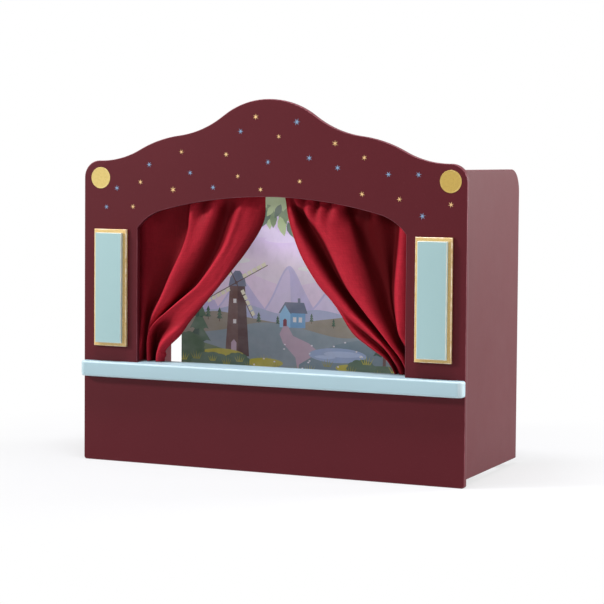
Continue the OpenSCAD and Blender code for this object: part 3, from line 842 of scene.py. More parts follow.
def garland(land, draws, step=8):
    line = land["garland"]
    left, right = line[0][0], line[-1][0]
    low, top = land["garlandBand"]
    under = [(x, curveAt(line, x)[0]) for x in range(left, right + 1, step)]
    shapes = [("leafPale", block(left, low, right, top)), ("leafPale", [(right, top), (left, top)] + under)]
    leaves = land["leaves"]
    for row, (drop, size) in enumerate(land["leafRows"]):
        for i, x in inRow(leaves, draws):
            z = curveAt(line, max(left, min(right, x)))[0] + drop + draws.uniform(*leaves["above"])
            ink = ("leafDark", "leaf", "leafPale")[(row + i) % 3]
            length = size + draws.uniform(*leaves["longer"])
            shapes += leaf(x, z, length, draws.uniform(*leaves["turn"]), ink)
    return shapes


def boardOutline(land):
    (cx, cz), (width, height), r = land["centre"], land["size"], land["corner"]
    outline = []
    for sx, sz, start in ((1, 1, 0), (-1, 1, 90), (-1, -1, 180), (1, -1, 270)):
        x, z = cx + sx * (width / 2 - r), cz + sz * (height / 2 - r)
        for turn in range(0, 91, 15):
            angle = math.radians(start + turn)
            outline.append((x + r * math.cos(angle), z + r * math.sin(angle)))
    return outline


def paintLandscape(land):
    # ink and outline of every shape, from the farthest to the nearest
    draws = random.Random(land["seed"])
    ridges = {name: [(ink, hill(ridge))] for name, (ink, ridge) in land["ridges"].items()}
    shapes = [("sky", boardOutline(land))] + ridges["haze"]
    for place in land["clouds"]:
        shapes += cloud(*place)
    for place in land["mountains"]:
        shapes += mountain(*place)
    shapes += ridges["range"] + ridges["farHill"]
    far = land["farFirs"]
    for _, x in inRow(far, draws):
        z = far["line"] + draws.uniform(*far["above"])
        shapes += fir(x, z, draws.uniform(*far["height"]), far["tiers"])
    shapes += ridges["middleHill"] + cottage(*land["cottage"])
    shapes += [("mauve", land["path"])] + ridges["nearHill"]
    shapes += [(ink, ellipse(*place)) for ink, *place in land["pond"]]
    shapes += ridges["meadow"] + ridges["bank"] + windmill(*land["windmill"])
    shapes += [("straw", ellipse(*place)) for place in land["stubble"]]
    for place in land["firs"]:
        shapes += fir(*place)
    for place in land["bushes"]:
        shapes += bush(*place, draws)
    tufts, petals = land["tufts"], land["petals"]
    for i, x in inRow(tufts, draws):
        z = tufts["line"] + draws.uniform(*tufts["above"])
        shapes += tuft(x, z, draws.uniform(*tufts["height"]), ("straw", "strawDark")[i % 2], draws)
    for _ in range(petals["count"]):
        x, z = draws.uniform(*petals["across"]), draws.uniform(*petals["up"])
        shapes.append(("petal", ellipse(x, z, *petals["size"], 8)))
    return shapes + ridges["verge"] + garland(land, draws)


def printFront(mesh, ink, shapes, lift, y):
    # the board's front is cut along every outline, and a part takes the ink of its topmost shape
    points, rings = [], []
    for _, outline in shapes:
        area = sum(a[0] * b[1] - b[0] * a[1] for a, b in pairsRound(outline))
        rings.append(list(range(len(points), len(points) + len(outline))))
        points += [Vector(p) for p in (outline if area > 0 else outline[::-1])]
    made = delaunay_2d_cdt(points, [], rings, 1, 0.001, True)
    verts = [mesh.verts.new((p.x * mm, y, p.y * mm)) for p in made[0]]
    for corners, owners in zip(made[2], made[5]):
        if 0 in owners:                         # inside the board's own outline
            colour = inks[shapes[max(owners)][0]]
            for loop in mesh.faces.new([verts[i] for i in corners]).loops:
                # painted light: the inks are lightened by height, evening out the lamps' light on the board
                lighter = curveAt(lift, loop.vert.co.z / mm)[0]
                loop[ink] = (*shade(colour, lighter), 1)
    bmesh.ops.delete(mesh, geom=[v for v in mesh.verts if not v.link_faces], context="VERTS")


def sortWalls(mesh, middle):
    # the extrusion leaves the faces round the board's edge in any order: they go last, by their places
    mesh.faces.index_update()
    walls = [face for face in mesh.faces if len({v.co.y > middle for v in face.verts}) == 2]
    walls.sort(key=lambda face: tuple(face.calc_center_median()))
    for i, face in enumerate(walls, len(mesh.faces)):
        face.index = i
    mesh.faces.sort()


def makeBackdrop(land):
    low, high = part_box("backdrop_board")
    shapes = paintLandscape(land)
    mesh = bmesh.new()
    ink = mesh.loops.layers.float_color.new("ink")
    printFront(mesh, ink, shapes, land["lift"], low.y)
    grown = bmesh.ops.extrude_face_region(mesh, geom=list(mesh.faces))["geom"]
    rear = [v for v in grown if isinstance(v, bmesh.types.BMVert)]
    bmesh.ops.translate(mesh, vec=(0, high.y - low.y, 0), verts=rear)
    middle = (low.y + high.y) / 2
    for face in mesh.faces:
        behind = [v.co.y > middle for v in face.verts]
        if any(behind):
            name = "rear" if all(behind) else "card"
            for loop in face.loops:
                loop[ink] = (*inks[name], 1)
    sortWalls(mesh, middle)
    data = saveMesh(mesh, bpy.data.meshes.new("printedBackdrop"))
    data.materials.append(finishes["scenePrint"])
    board = addObject("printedBackdrop", data)
    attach(board, "backdrop")
    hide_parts("backdrop_board")
    print("backdrop printed:", len(shapes), "shapes,", len(data.polygons), "faces")


makeBackdrop(landscape)


# The curtains. A curtain hangs in a row of fold lines, from its outer edge to its leading edge.
# A line gives its height, its distance from the theatre's middle and its depth behind the
# front face, all in millimetres, from the foot up.

drapery = {
    "thick": 0.0009,            # metres; what follows is in millimetres unless it says otherwise
    "foot": 144.5,              # just clear of the ledge
    "tie": 165.0,               # the ribbon's height
    "stitch": 388.0,            # where the casing is sewn under the rod
    "stitchDepth": 22.6,        # how far the seam lies behind the front face
    "rise": 30.0,               # the folds are full this far under the stitching
    "pleatFade": 335.0,         # the pleats under the rod have died away at this height
    "sewnPleat": 0.6,           # share of a pleat's depth that is left in the seam
    "measuredAt": (160, 220, 280, 340),         # heights at which the cloth between two lines is measured
    # spacing of the points across and down, closer at the leading edge and up to closeRows above the foot
    "column": 2.0, "edgeColumn": 1.1, "row": 1.9, "edgeRow": 1.1, "closeRows": 11.0, "leastRow": 0.5,
    "hemWidth": 8.0,            # turned hem on the leading edge and the foot
    "hemDip": (0.30, 1.0),      # depth and width of the groove along a hem's seam
    # loose cloth waves a little: it begins so far above the tie and from the theatre's middle, and is
    # fully loose after so much more; a wave has its depth, width, height and seed
    "looseAbove": (6, 30), "looseBeyond": (12, 10),
    "waves": ((0.75, 9, 60, 0), (0.30, 3.5, 25, 7)),
    # painted shade: a valley is darker the further it lies behind the crests within so many columns of it
    "valleyReach": 24, "outermost": 15.0, "crest": 1.5, "deep": 12.5,
    # a curtain's outerValleys make the shade painted into its valleys paler at the outer edge, and no
    # longer plainWidth from it; this begins at the first of the plainFoot heights and is full at the second
    "plainWidth": 75.0, "plainFoot": (185.0, 285.0),
    "shadedFoot": (150, 215),   # its valleyShade begins at the first height and is full at the second
    # the casing: the rod's axis, the cloth's distance from it, and the gathers round the rod
    "rodAxis": (26.0, 398.0),   # depth and height
    "rodReach": 6.3,
    "gatherWidth": 9.0, "gatherRise": 2.5,
    "gatherStray": (3.0, 14),   # how far gathers stray, in radians, and over what width
    "gatherUneven": (0.2, 5.5), # how much they vary in height, and over what width
    # depth, height and share of the pleats for its rows before and behind the rod
    "beforeRod": [(20.4, 391.5, 0.054)],
    "behindRod": [(28.6, 391.5, 0.054), (24.4, 388.0, 0.36), (24.6, 384.6, 0.36)],
    # width and leading edge in metres, and area in square metres: the outer edge is 296 mm long, so the
    # foot is cut on a slope
    "cut": (0.265, 0.350), "cutArea": 0.0856,
}

rightDrape = {
    "name": "rightDrape", "side": 1, "node": "right_curtain", "body": "right_drape",
    "joint": "right_curtain_draw",
    "seed": 3.7, "valleyShade": 0.97, "outerValleys": 1.0,
    "lines": [
        [(144, 210, 25), (165, 209.5, 25), (180, 212, 25), (210, 216, 25), (250, 222, 25), (290, 228, 25),
         (330, 233, 25), (388, 235.5, 25)],
        [(144, 208, 20), (165, 207, 20), (180, 206, 20), (210, 205, 19), (250, 207, 20), (290, 210, 20),
         (330, 213, 20), (388, 214, 21)],
        [(144, 206, 25), (165, 204.5, 25), (180, 200, 22), (192, 194, 17), (202, 191, 13), (218, 189, 12),
         (246, 188, 12), (286, 189.5, 12), (313, 192, 12), (347, 195, 13), (365, 197, 14),
         (388, 198, 16)],
        [(144, 203.6, 31), (165, 199.6, 32), (180, 190.5, 34), (200, 182, 35), (229, 175, 35),
         (258, 172, 35), (290, 173, 35), (330, 177, 31), (365, 176, 30), (388, 176, 28)],
        [(144, 203.2, 31), (165, 198.6, 32), (180, 189, 34), (200, 181, 34.5), (229, 172, 34.5),
         (258, 168, 33.5), (290, 165, 30), (330, 160, 25), (365, 151, 22), (388, 149, 20)],
        [(144, 202.8, 30), (165, 197.6, 31), (180, 187.5, 33), (200, 178.5, 33.5), (229, 167.5, 34),
         (258, 161, 33.5), (290, 151, 32.5), (330, 134, 31), (365, 121, 29), (388, 116, 25)],
        [(144, 202, 25), (165, 196, 24), (180, 184, 23), (200, 172.5, 23), (229, 157, 23), (258, 145, 22),
         (290, 132, 21), (304, 126, 20), (330, 117, 18), (365, 105, 17), (388, 101, 20)],
        [(144, 200.5, 22), (165, 192, 18), (185, 177.5, 13), (205, 161, 12), (228, 141, 12),
         (257, 119, 12), (279, 107, 12), (300, 97, 12), (325, 84, 12), (345, 70, 12), (362, 55, 13),
         (374, 42, 14), (388, 34, 16)],
        [(144, 197.5, 29), (154, 194, 30), (165, 187.5, 31), (183, 173, 32), (205, 153.5, 33),
         (223, 136, 34), (256, 105, 34), (279, 89, 34), (300, 77, 34), (330, 60, 32), (370, 33, 28),
         (388, 27, 25)],
        [(144, 190, 25), (155, 186, 22), (165, 180.5, 18), (179, 170.5, 14.5), (196, 151.5, 13),
         (213, 132, 13), (228, 115, 14), (279, 72, 15), (330, 42, 16), (370, 25, 17), (388, 20, 20)],
        [(144, 184, 29), (155, 178, 31), (165, 172, 31), (179, 159.5, 29.5), (196, 138, 26),
         (213, 118, 21), (228, 105.5, 18), (279, 60, 16.5), (330, 33, 18), (370, 21, 20), (388, 17, 22)],
        [(144, 182, 25), (155, 176, 22), (165, 169.6, 18.5), (179, 151.5, 16.5), (196, 129.5, 16.5),
         (213, 113, 17), (228, 102.5, 17.5), (279, 58.5, 17.5), (330, 32, 18.5), (370, 19.5, 20.5),
         (388, 15.5, 22)],
        [(144, 180.5, 25), (156, 174, 25), (165, 167, 24), (176, 150, 22), (196, 122, 20), (226, 101, 18),
         (240, 90, 18), (263, 68, 18.5), (302, 42, 19), (348, 24, 20), (381, 16, 21), (388, 13.8, 22)],
    ],
    "pleats": [(13, 0), (25, 2), (34, -2), (44, 7), (56, -5), (66, 11), (75, -5), (83, 8), (95, -7),
               (112, 11), (125, -5), (138, 9), (149, -5), (164, 5), (180, 4), (199, -3), (210, 3),
               (223, -2), (236, 0)],
}

leftDrape = {
    "name": "leftDrape", "side": -1, "node": "left_curtain", "body": "left_drape",
    "joint": "left_curtain_draw",
    "seed": 9.2, "valleyShade": 0.8, "outerValleys": 0.68,
    "lines": [
        [(144, 210.5, 18), (165, 209.7, 18), (180, 212, 22), (210, 216, 26), (250, 222, 26),
         (290, 228, 26), (330, 233, 26), (388, 235.5, 25)],
        [(144, 209, 20), (165, 208, 20), (180, 208, 21), (210, 206, 22), (250, 202, 23), (290, 197, 23),
         (330, 196, 23), (365, 200, 23), (388, 202, 22)],
        [(144, 206.5, 30), (165, 205.5, 31), (180, 204, 33), (210, 199, 34), (237, 185, 34),
         (266, 172, 34), (288, 161, 34), (312, 150, 34), (336, 144, 33), (354, 143, 32), (370, 141, 30),
         (388, 142, 27)],
        [(144, 204, 28), (165, 203, 28), (180, 199.5, 24), (192, 194.5, 18), (210, 186, 13),
         (237, 172, 13), (266, 158, 13), (288, 147, 13), (312, 136, 13), (336, 128, 13), (354, 125.5, 13),
         (370, 123, 14), (388, 122, 17)],
        [(144, 202.5, 29), (165, 201.5, 29), (180, 198, 26), (192, 192.5, 20), (210, 182, 15),
         (237, 165, 14), (266, 149, 14), (288, 138, 14), (312, 127, 14.5), (340, 118, 15.5),
         (355, 115, 17), (375, 110, 21), (388, 109, 25)],
        [(144, 201, 31), (165, 200, 32), (180, 196.5, 31), (192, 190.5, 27), (210, 178, 21),
         (237, 155, 20), (266, 138, 20), (302, 116, 19), (330, 103, 16), (355, 94, 15), (375, 89, 15),
         (388, 88, 18)],
        [(144, 198.5, 33), (165, 197.8, 34), (188, 193.5, 35), (200, 186, 35), (217, 169, 34),
         (261, 122, 34), (304, 96, 34), (340, 83, 33), (370, 75, 31), (388, 72, 27)],
        [(144, 195, 15), (160, 195, 14), (176, 194, 13), (187, 191.5, 13), (194, 187, 12), (203, 179, 12),
         (216, 163, 12), (229, 147, 12), (245, 126, 12), (256, 113, 12), (304, 76, 12), (335, 61, 12),
         (362, 51, 13), (388, 43, 17)],
        [(144, 191.5, 33), (160, 190.5, 34), (179, 187.5, 33), (190, 183.5, 30), (198, 177, 25),
         (208, 164, 18.5), (220, 148, 15.5), (256, 101, 14), (304, 68, 14), (335, 53, 15), (362, 42, 16),
         (388, 34, 19)],
        [(144, 181, 17), (151, 179.5, 15), (160, 177, 14), (171, 171, 13.5), (181, 162, 14),
         (190, 152, 15), (202, 139, 16), (256, 86, 17), (311, 50, 18), (348, 30, 19), (388, 22, 21)],
        [(144, 171.5, 23), (149, 170.5, 22), (155, 167.5, 21), (160, 168.5, 20), (170, 159, 20),
         (183, 145, 21), (203, 130.5, 22), (267, 75, 23), (311, 39, 25), (348, 17, 25), (381, 13.9, 23),
         (388, 13.8, 22)],
    ],
    "pleats": [(13, 0), (28, 2), (45, -1), (60, 2), (76, 3), (89, -4), (99, 4), (110, 7), (117, 2),
               (124, -4), (135, 2), (150, 5), (168, -2), (185, 4), (200, -3), (218, 3), (236, 0)],
}


def lineSpacing(curtain, d):
    # the cloth's own measure across the folds, in millimetres from the outer edge
    across = [0.0]
    for a, b in zip(curtain["lines"], curtain["lines"][1:]):
        gaps = [math.dist(curveAt(a, z), curveAt(b, z)) for z in d["measuredAt"]]
        across.append(across[-1] + sum(gaps) / len(gaps))
    return across


def clothColumns(across, d):
    columns = []
    for k, (a, b) in enumerate(zip(across, across[1:])):
        step = d["edgeColumn"] if k == len(across) - 2 else d["column"]
        count = max(2, round((b - a) / step))
        columns += [a + (b - a) * i / count for i in range(count)]
    return columns + [across[-1]]


def clothHeights(d):
    heights, z = [], d["foot"]
    while z < d["stitch"] - d["leastRow"]:
        heights.append(z)
        z += d["edgeRow"] if z < d["foot"] + d["closeRows"] else d["row"]
    return heights + [d["stitch"]]


def hemDip(away, d):
    deep, wide = d["hemDip"]
    return deep * math.exp(-((away - d["hemWidth"]) / wide) ** 2)


def hangingPoint(curtain, d, across, knots, s, z):
    # a point of the cloth's middle: x and depth at s across, at height z
    x, depth = curveAt(knots, s)
    full = ease((d["stitch"] - z) / d["rise"])
    pleat = curveAt(curtain["pleats"], x)[0] * ease((z - d["pleatFade"]) / (d["stitch"] - d["pleatFade"]))
    depth = mix(d["stitchDepth"], depth, full) + pleat * mix(d["sewnPleat"], 1, full)
    above, aboveBy = d["looseAbove"]
    beyond, beyondBy = d["looseBeyond"]
    loose = ease((z - d["tie"] - above) / aboveBy) * ease((x - beyond) / beyondBy)
    for deep, wide, tall, seed in d["waves"]:
        depth += loose * deep * noise.noise(Vector((s / wide, z / tall, curtain["seed"] + seed)))
    return x, depth + hemDip(across[-1] - s, d) + hemDip(z - d["foot"], d)


def overRod(curtain, d, angle, x):
    # a point of the casing, at an angle round the rod from straight behind it
    axisDepth, axisHeight = d["rodAxis"]
    stray, strayWidth = d["gatherStray"]
    uneven, unevenWidth = d["gatherUneven"]
    turn = 2 * math.pi * x / d["gatherWidth"]
    turn += stray * noise.noise(Vector((x / strayWidth, 0, curtain["seed"])))
    height = 1 - uneven + uneven * noise.noise(Vector((x / unevenWidth, 0, curtain["seed"])))
    reach = d["rodReach"] + d["gatherRise"] * (0.5 + 0.5 * math.sin(turn)) * height
    return x, axisDepth + reach * math.cos(angle), axisHeight + reach * math.sin(angle)


def clothRows(curtain, d, across, columns):
    # points as x, depth and height: from the foot up, over the rod and down to the casing's seam behind it
    rows = []
    for z in clothHeights(d):
        knots = [(s, *curveAt(line, z)) for s, line in zip(across, curtain["lines"])]
        rows.append([(*hangingPoint(curtain, d, across, knots, s, z), z) for s in columns])
    topX = [x for x, depth, z in rows[-1]]
    pleats = [curveAt(curtain["pleats"], x)[0] for x in topX]

    def sewnRows(places):
        return [[(x, depth + share * pleat, z) for x, pleat in zip(topX, pleats)]
                for depth, z, share in places]

    over = [[overRod(curtain, d, math.radians(angle), x) for x in topX] for angle in range(190, -11, -20)]
    return rows + sewnRows(d["beforeRod"]) + over + sewnRows(d["behindRod"])


def valleyShares(curtain, columns, row, d):
    # how much shade is painted into the cloth's colour at each point
    # 0 on a crest to 1 in a valley, from how far a point lies behind the crests beside it
    reach = d["valleyReach"]
    plainLow, plainHigh = d["plainFoot"]
    darkLow, darkHigh = d["shadedFoot"]
    shares = []
    for i, (_, depth, z) in enumerate(row):
        front = min([d["outermost"]] + [p[1] for p in row[max(0, i - reach):i + reach + 1]])
        palest = mix(1, curtain["outerValleys"], ease((z - plainLow) / (plainHigh - plainLow)))
        paler = mix(palest, 1, ease(columns[i] / d["plainWidth"]))
        upper = mix(1, curtain["valleyShade"], ease((z - darkLow) / (darkHigh - darkLow)))
        shares.append(paler * upper * ease((depth - front - d["crest"]) / d["deep"]))
    return shares


def markCloth(cloth, curtain, d, columns, rows):
    # the shade painted into the valleys, and each point's place on the cut cloth
    valley = cloth.data.attributes.new("valley", "FLOAT", "POINT")
    shares = [share for row in rows for share in valleyShares(curtain, columns, row, d)]
    valley.data.foreach_set("value", shares)
    middle = [row[len(columns) // 2][1:] for row in rows]
    down = [0.0]
    for a, b in zip(middle, middle[1:]):
        down.append(down[-1] + math.dist(a, b))
    uv = cloth.data.uv_layers.new(name="cut")
    for loop in cloth.data.loops:
        j, i = divmod(loop.vertex_index, len(columns))
        uv.data[loop.index].uv = (columns[i] * mm, down[j] * mm)


def makeDrape(curtain, d):
    across = lineSpacing(curtain, d)
    columns = clothColumns(across, d)
    rows = clothRows(curtain, d, across, columns)
    count, side = len(columns), curtain["side"]
    points = [(side * x * mm, frontY + depth * mm, z * mm) for row in rows for x, depth, z in row]
    faces = []
    for j in range(len(rows) - 1):
        for a in range(j * count, (j + 1) * count - 1):
            face = (a, a + 1, a + count + 1, a + count)
            faces.append(face if side < 0 else face[::-1])
    cloth = makeObject(curtain["name"], points, faces, finishes["crimsonCloth"], smooth=True)
    markCloth(cloth, curtain, d, columns, rows)
    body = cloth.modifiers.new("thickness", "SOLIDIFY")
    body.thickness = d["thick"]
    body.offset = 0
    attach(cloth, curtain["body"])
    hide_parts(curtain["node"])
    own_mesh(cloth)
    widest = max(pathLength(row) for row in rows)
    longest = max(pathLength(line) for line in zip(*rows))
    print(curtain["name"], "hung:", count, "by", len(rows), "points,",
          round(widest), "mm at its widest and", round(longest), "mm at its longest along the folds")


for drape in (leftDrape, rightDrape):
    makeDrape(drape, drapery)


# Tiebacks: a ribbon sewn across the back of the gathered cloth, with an eye over its peg

ribbon = {
    "width": 0.0060, "thick": 0.0010,
    "height": 0.165, "depth": 0.026,        # the eye's middle, above the floor and behind the front face
    "bend": (0.2010, 0.0100),               # where the ribbon turns to its peg, and the turn's inner radius
    "start": 0.1762,                        # its sewn end
    "steps": (12, 16),                      # along the straight and round the turn
    "sag": 0.0002,                          # how far the band strays up and down
    "peg": 0.222, "eye": 0.0029,            # the peg's distance from the middle, and the eye's radius
    "eyeSteps": 40,
    "rim": 0.0003,                          # rounding of the tab's outer edge
    "collar": ((0.0009, 0), (0.0006, 0.0003), (0.0001, 0.0001)),    # out from the hole, above the tab
    "stitches": 6, "stitch": (0.0016, 0.0004, 0.00022),     # how many, and their length, width and rise
    "stitchEnds": (0.003, 0.001),           # ribbon left free before the first stitch and at the turn
    "stitchRows": (-0.3, 0.3),              # shares of the width, from its middle
    "sunk": 0.0002,                         # stitches and eye reach so far into the ribbon
}


def ribbonSection(r):
    # a flat band with softened selvedges, out from the path and up
    half, thin = r["width"] / 2, r["thick"]
    return [(0.0, -half * 0.85), (thin * 0.25, -half), (thin * 0.75, -half), (thin, -half * 0.85),
            (thin * 1.1, -half * 0.4), (thin, 0), (thin * 1.1, half * 0.4),
            (thin, half * 0.85), (thin * 0.75, half), (thin * 0.25, half), (0.0, half * 0.85), (0.0, 0)]


def stitchBlocks(side, r, rear):
    # rows of thread along both selvedges, where the ribbon is sewn to the gathers
    long, wide, rise = r["stitch"]
    room = (r["bend"][0] - r["start"] - sum(r["stitchEnds"])) / r["stitches"]
    for k in range(r["stitches"]):
        x = r["start"] + r["stitchEnds"][0] + room * k
        for share in r["stitchRows"]:
            low = r["height"] + share * r["width"] - wide / 2
            ring = block(x, low, x + long, low + wide)
            yield closedSweep([[(side * a, y, b) for a, b in ring]
                               for y in (rear - r["sunk"], rear + rise)])


def ribbonEye(side, r, centreY):
    # a flat tab with a hole for the peg, thicker where it is sewn round the hole
    start = sum(r["bend"]) + r["sunk"]
    half, thin, eye = r["width"] / 2, r["thick"] / 2, r["eye"]
    rings = []
    for c, s in roundTurn(r["eyeSteps"]):
        reach = half if c > 0 else min((r["peg"] - start) / max(-c, 1e-6), half / max(abs(s), 1e-6))
        rear = [(reach, thin * 0.7), (reach - r["rim"], thin)]
        rear += [(eye + out, thin + lift) for out, lift in r["collar"]]
        section = rear[:1] + [(out, -lift) for out, lift in rear] + [(eye, 0)] + rear[:0:-1]
        rings.append([(side * (r["peg"] + out * c), centreY + lift, r["height"] + out * s)
                      for out, lift in section])
    points, faces = closedSweep(rings + [rings[0]], capped=False)
    points = points[:-len(rings[0])]
    return points, [tuple(i % len(points) for i in face) for face in faces]


def ribbonBand(side, r, centreY):
    # from the sewn end, and a quarter turn towards the peg
    bendX, inner = r["bend"]
    straight, bent = r["steps"]
    path = [(mix(r["start"], bendX, i / straight), math.radians(90)) for i in range(straight)]
    path += [(bendX, math.radians(90 - 90 * i / bent)) for i in range(bent + 1)]
    rings = []
    for n, (x, angle) in enumerate(path):
        sag = r["sag"] * noise.noise(Vector((n / 5, side, 1)))
        c, s = math.cos(angle), math.sin(angle)
        rings.append([(side * (x + (inner + out) * c), centreY + (inner + out) * s, r["height"] + up + sag)
                      for out, up in ribbonSection(r)])
    return closedSweep(rings)


def makeRibbon(name, side, node, r):
    centreY = frontY + r["depth"]
    rear = centreY + r["bend"][1] + r["thick"]
    parts = [ribbonBand(side, r, centreY), ribbonEye(side, r, centreY), *stitchBlocks(side, r, rear)]
    band = makeObject(name, *joinParts(parts), finishes["crimsonCloth"], smooth=True)
    mesh = bmesh.new()
    mesh.from_mesh(band.data)
    saveMesh(mesh, band.data)
    uv = band.data.uv_layers.new(name="cut")
    for loop in band.data.loops:
        p = band.data.vertices[loop.vertex_index].co
        uv.data[loop.index].uv = (p.z, p.x + p.y)
    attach(band, "theatre")
    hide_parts(node)


makeRibbon("leftRibbon", -1, "left_tieback", ribbon)
makeRibbon("rightRibbon", 1, "right_tieback", ribbon)
print("curtains tied back")


# Screws in the battens, side boards, brackets and cleat: raised heads with a cross recess

screw = {
    "head": 0.0034, "rise": 0.0009, "sunk": 0.0002,     # metres
    "steps": 32,
    "dome": ((1.0, 0.15), (0.93, 0.5), (0.82, 0.8), (0.68, 1.0)),   # shares of the head's radius and rise
    "slotHalf": 0.00045, "slotReach": 0.0019, "slotDepth": 0.0007,
    "slotFloor": 0.8,           # its size as a share of the slot's mouth
    "seed": 4,
    # places: shares of the battens' height and of half the cleat's length, and metres above a
    # bracket's foot
    "battens": (0.10, 0.5, 0.90), "sides": (0.2, 0.6, 0.82), "cleat": (-0.86, -0.3, 0.3, 0.86),
    "brackets": 0.0055,
}


def bridge(mesh, lower, upper):
    for (a, b), (c, d) in zip(pairsRound(lower), pairsRound(upper)):
        mesh.faces.new((a, b, d, c))


def screwHead(s):
    # a head round the Z axis, with its crossed slots sunk in
    mesh = bmesh.new()
    rim = [mesh.verts.new((s["head"] * c, s["head"] * n, -s["sunk"])) for c, n in roundTurn(s["steps"])]
    mesh.faces.new(rim[::-1])
    before = rim
    for share, lift in s["dome"]:
        ring = [mesh.verts.new((v.co.x * share, v.co.y * share, s["rise"] * lift)) for v in rim]
        bridge(mesh, before, ring)
        before = ring
    a, b = s["slotHalf"], s["slotReach"]
    cross = [(a, a), (a, b), (-a, b), (-a, a), (-b, a), (-b, -a)]
    cross += [(-x, -y) for x, y in cross]
    lip = [mesh.verts.new((x, y, s["rise"])) for x, y in cross]
    share, low = s["slotFloor"], s["rise"] - s["slotDepth"]
    floor = [mesh.verts.new((x * share, y * share, low)) for x, y in cross]
    bridge(mesh, lip, floor)
    mesh.faces.new(floor)
    edges = [mesh.edges.get(pair) for ring in (before, lip) for pair in pairsRound(ring)]
    bmesh.ops.triangle_fill(mesh, use_beauty=True, edges=edges)
    data = saveMesh(mesh, bpy.data.meshes.new("screwHead"))
    data.materials.append(finishes["zincSteel"])
    return data


def screwRows(s):
    # name: the way the heads face, and their places
    rows = {}
    battenLow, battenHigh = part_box("right_corner_batten")
    bracketLow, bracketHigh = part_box("right_rod_bracket")
    cleatLow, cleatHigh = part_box("ledge_cleat")
    battenX, battenY = (battenLow.x + battenHigh.x) / 2, (battenLow.y + battenHigh.y) / 2
    bracketX = (bracketLow.x + bracketHigh.x) / 2
    tall = battenHigh.z - battenLow.z
    for side, word in ((-1, "left"), (1, "right")):
        rows[word + "BattenScrew"] = ("Y", [(side * battenX, battenHigh.y, battenLow.z + tall * t)
                                            for t in s["battens"]])
        rows[word + "SideScrew"] = (-side, [(side * battenLow.x, battenY, battenLow.z + tall * t)
                                            for t in s["sides"]])
        bracketZ = bracketLow.z + s["brackets"]
        rows[word + "BracketScrew"] = ("Y", [(side * bracketX, bracketHigh.y, bracketZ)])
    cleatZ = (cleatLow.z + cleatHigh.z) / 2
    rows["cleatScrew"] = ("Y", [(x * cleatHigh.x, cleatHigh.y, cleatZ) for x in s["cleat"]])
    return rows


def driveScrews(s):
    head = screwHead(s)
    draws = random.Random(s["seed"])
    for name, (facing, places) in screwRows(s).items():
        if facing == "Y":
            turn = Matrix.Rotation(math.radians(-90), 4, "X")
        else:
            turn = Matrix.Rotation(math.radians(90 * facing), 4, "Y")
        for k, place in enumerate(places):
            piece = addObject(f"{name}{k + 1}", head)
            slots = Matrix.Rotation(draws.uniform(0, math.pi / 2), 4, "Z")
            piece.matrix_world = Matrix.Translation(place) @ turn @ slots
            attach(piece, "theatre")


driveScrews(screw)
print("screws driven")


# Floor, lamps and surroundings

studio = {
    "floor": paint(200, 200, 200), "rough": 0.9, "gloss": 0.1, "reach": 30.0, "drop": 0.0002,
    "shadow": 0.35,             # how much of the floor's own light the camera sees near the theatre
    "shadowReach": (0.36, 0.72),            # metres from the middle over which that fades to white
    "fill": 0.12,               # how brightly the white surroundings light the theatre
    "lamps": {
        # place, aim, width, height, power in watts
        "keyLamp": ((-3.6, -2.85, 2.5), (0, 0, 0.25), 0.75, 0.75, 184),
        "stageLamp": ((0, -0.7, 3.2), (0, 0.05, 0.3), 1.5, 0.7, 109),
        "frontLamp": ((-1.9, -2.5, 0.4), (0, 0, 0.3), 0.9, 0.9, 6),
        "sideLamp": ((1.95, 1.6, 0.9), (0.2, 0, 0.25), 0.9, 1.2, 58),
        "rightLamp": ((2.9, 0.1, 1.1), (0.2, 0, 0.25), 0.9, 1.2, 40),
    },
    "tints": {"stageLamp": (0.92, 0.92, 1.0)},
}


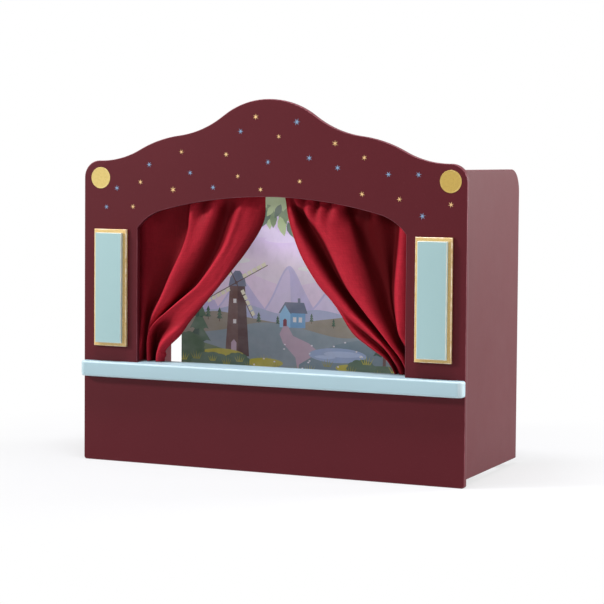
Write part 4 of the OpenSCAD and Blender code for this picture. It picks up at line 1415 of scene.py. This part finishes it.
def seenByCamera(tree):
    # 1 for a ray from the camera, straight or by way of a reflection, and 0 for light that falls on things
    rays = addNode(tree, "ShaderNodeLightPath").outputs
    seen = calculate(tree, "MAXIMUM", rays["Is Camera Ray"], rays["Is Glossy Ray"])
    return calculate(tree, "MAXIMUM", seen, rays["Is Transmission Ray"])


def makeFloor(s):
    reach = s["reach"]
    gloss = {"Specular IOR Level": s["gloss"]}
    material, tree, shader = newFinish("floorPaper", s["floor"], s["rough"], gloss)
    corners = [(x, y, 0) for x, y in block(-reach, -reach, reach, reach)]
    floor = makeObject("floor", corners, [(0, 1, 2, 3)], material)
    floor.location.z = -s["drop"]
    away = addNode(tree, "ShaderNodeVectorMath", {0: placeOf(tree)}, operation="LENGTH").outputs["Value"]
    white = spread(tree, away, 1 - s["shadow"], 1.0, *s["shadowReach"])
    show = calculate(tree, "MULTIPLY", seenByCamera(tree), white)
    glow = addNode(tree, "ShaderNodeEmission", {"Color": (1, 1, 1, 1), "Strength": 1.0})
    both = addNode(tree, "ShaderNodeMixShader", {0: show, 1: shader.outputs[0], 2: glow.outputs[0]})
    tree.links.new(both.outputs[0], tree.nodes["Material Output"].inputs["Surface"])


def lightWorld(s):
    world = bpy.data.worlds.new("studio")
    bpy.context.scene.world = world
    world.use_nodes = True
    tree = world.node_tree
    backing = tree.nodes["Background"]
    backing.inputs["Color"].default_value = (1, 1, 1, 1)
    strength = spread(tree, seenByCamera(tree), s["fill"], 1.0, 0, 1)
    tree.links.new(strength, backing.inputs["Strength"])


def hangLamps(s):
    for name, (place, aim, width, height, power) in s["lamps"].items():
        lamp = bpy.data.lights.new(name, "AREA")
        lamp.shape = "RECTANGLE"
        lamp.size, lamp.size_y = width, height
        lamp.energy = power
        lamp.color = s["tints"].get(name, (1, 1, 1))
        obj = addObject(name, lamp)
        obj.visible_camera = False
        obj.location = place
        obj.rotation_euler = (Vector(aim) - Vector(place)).to_track_quat("-Z", "Y").to_euler()


makeFloor(studio)
lightWorld(studio)
hangLamps(studio)
bpy.context.scene.view_settings.view_transform = "Standard"
print("studio lit")
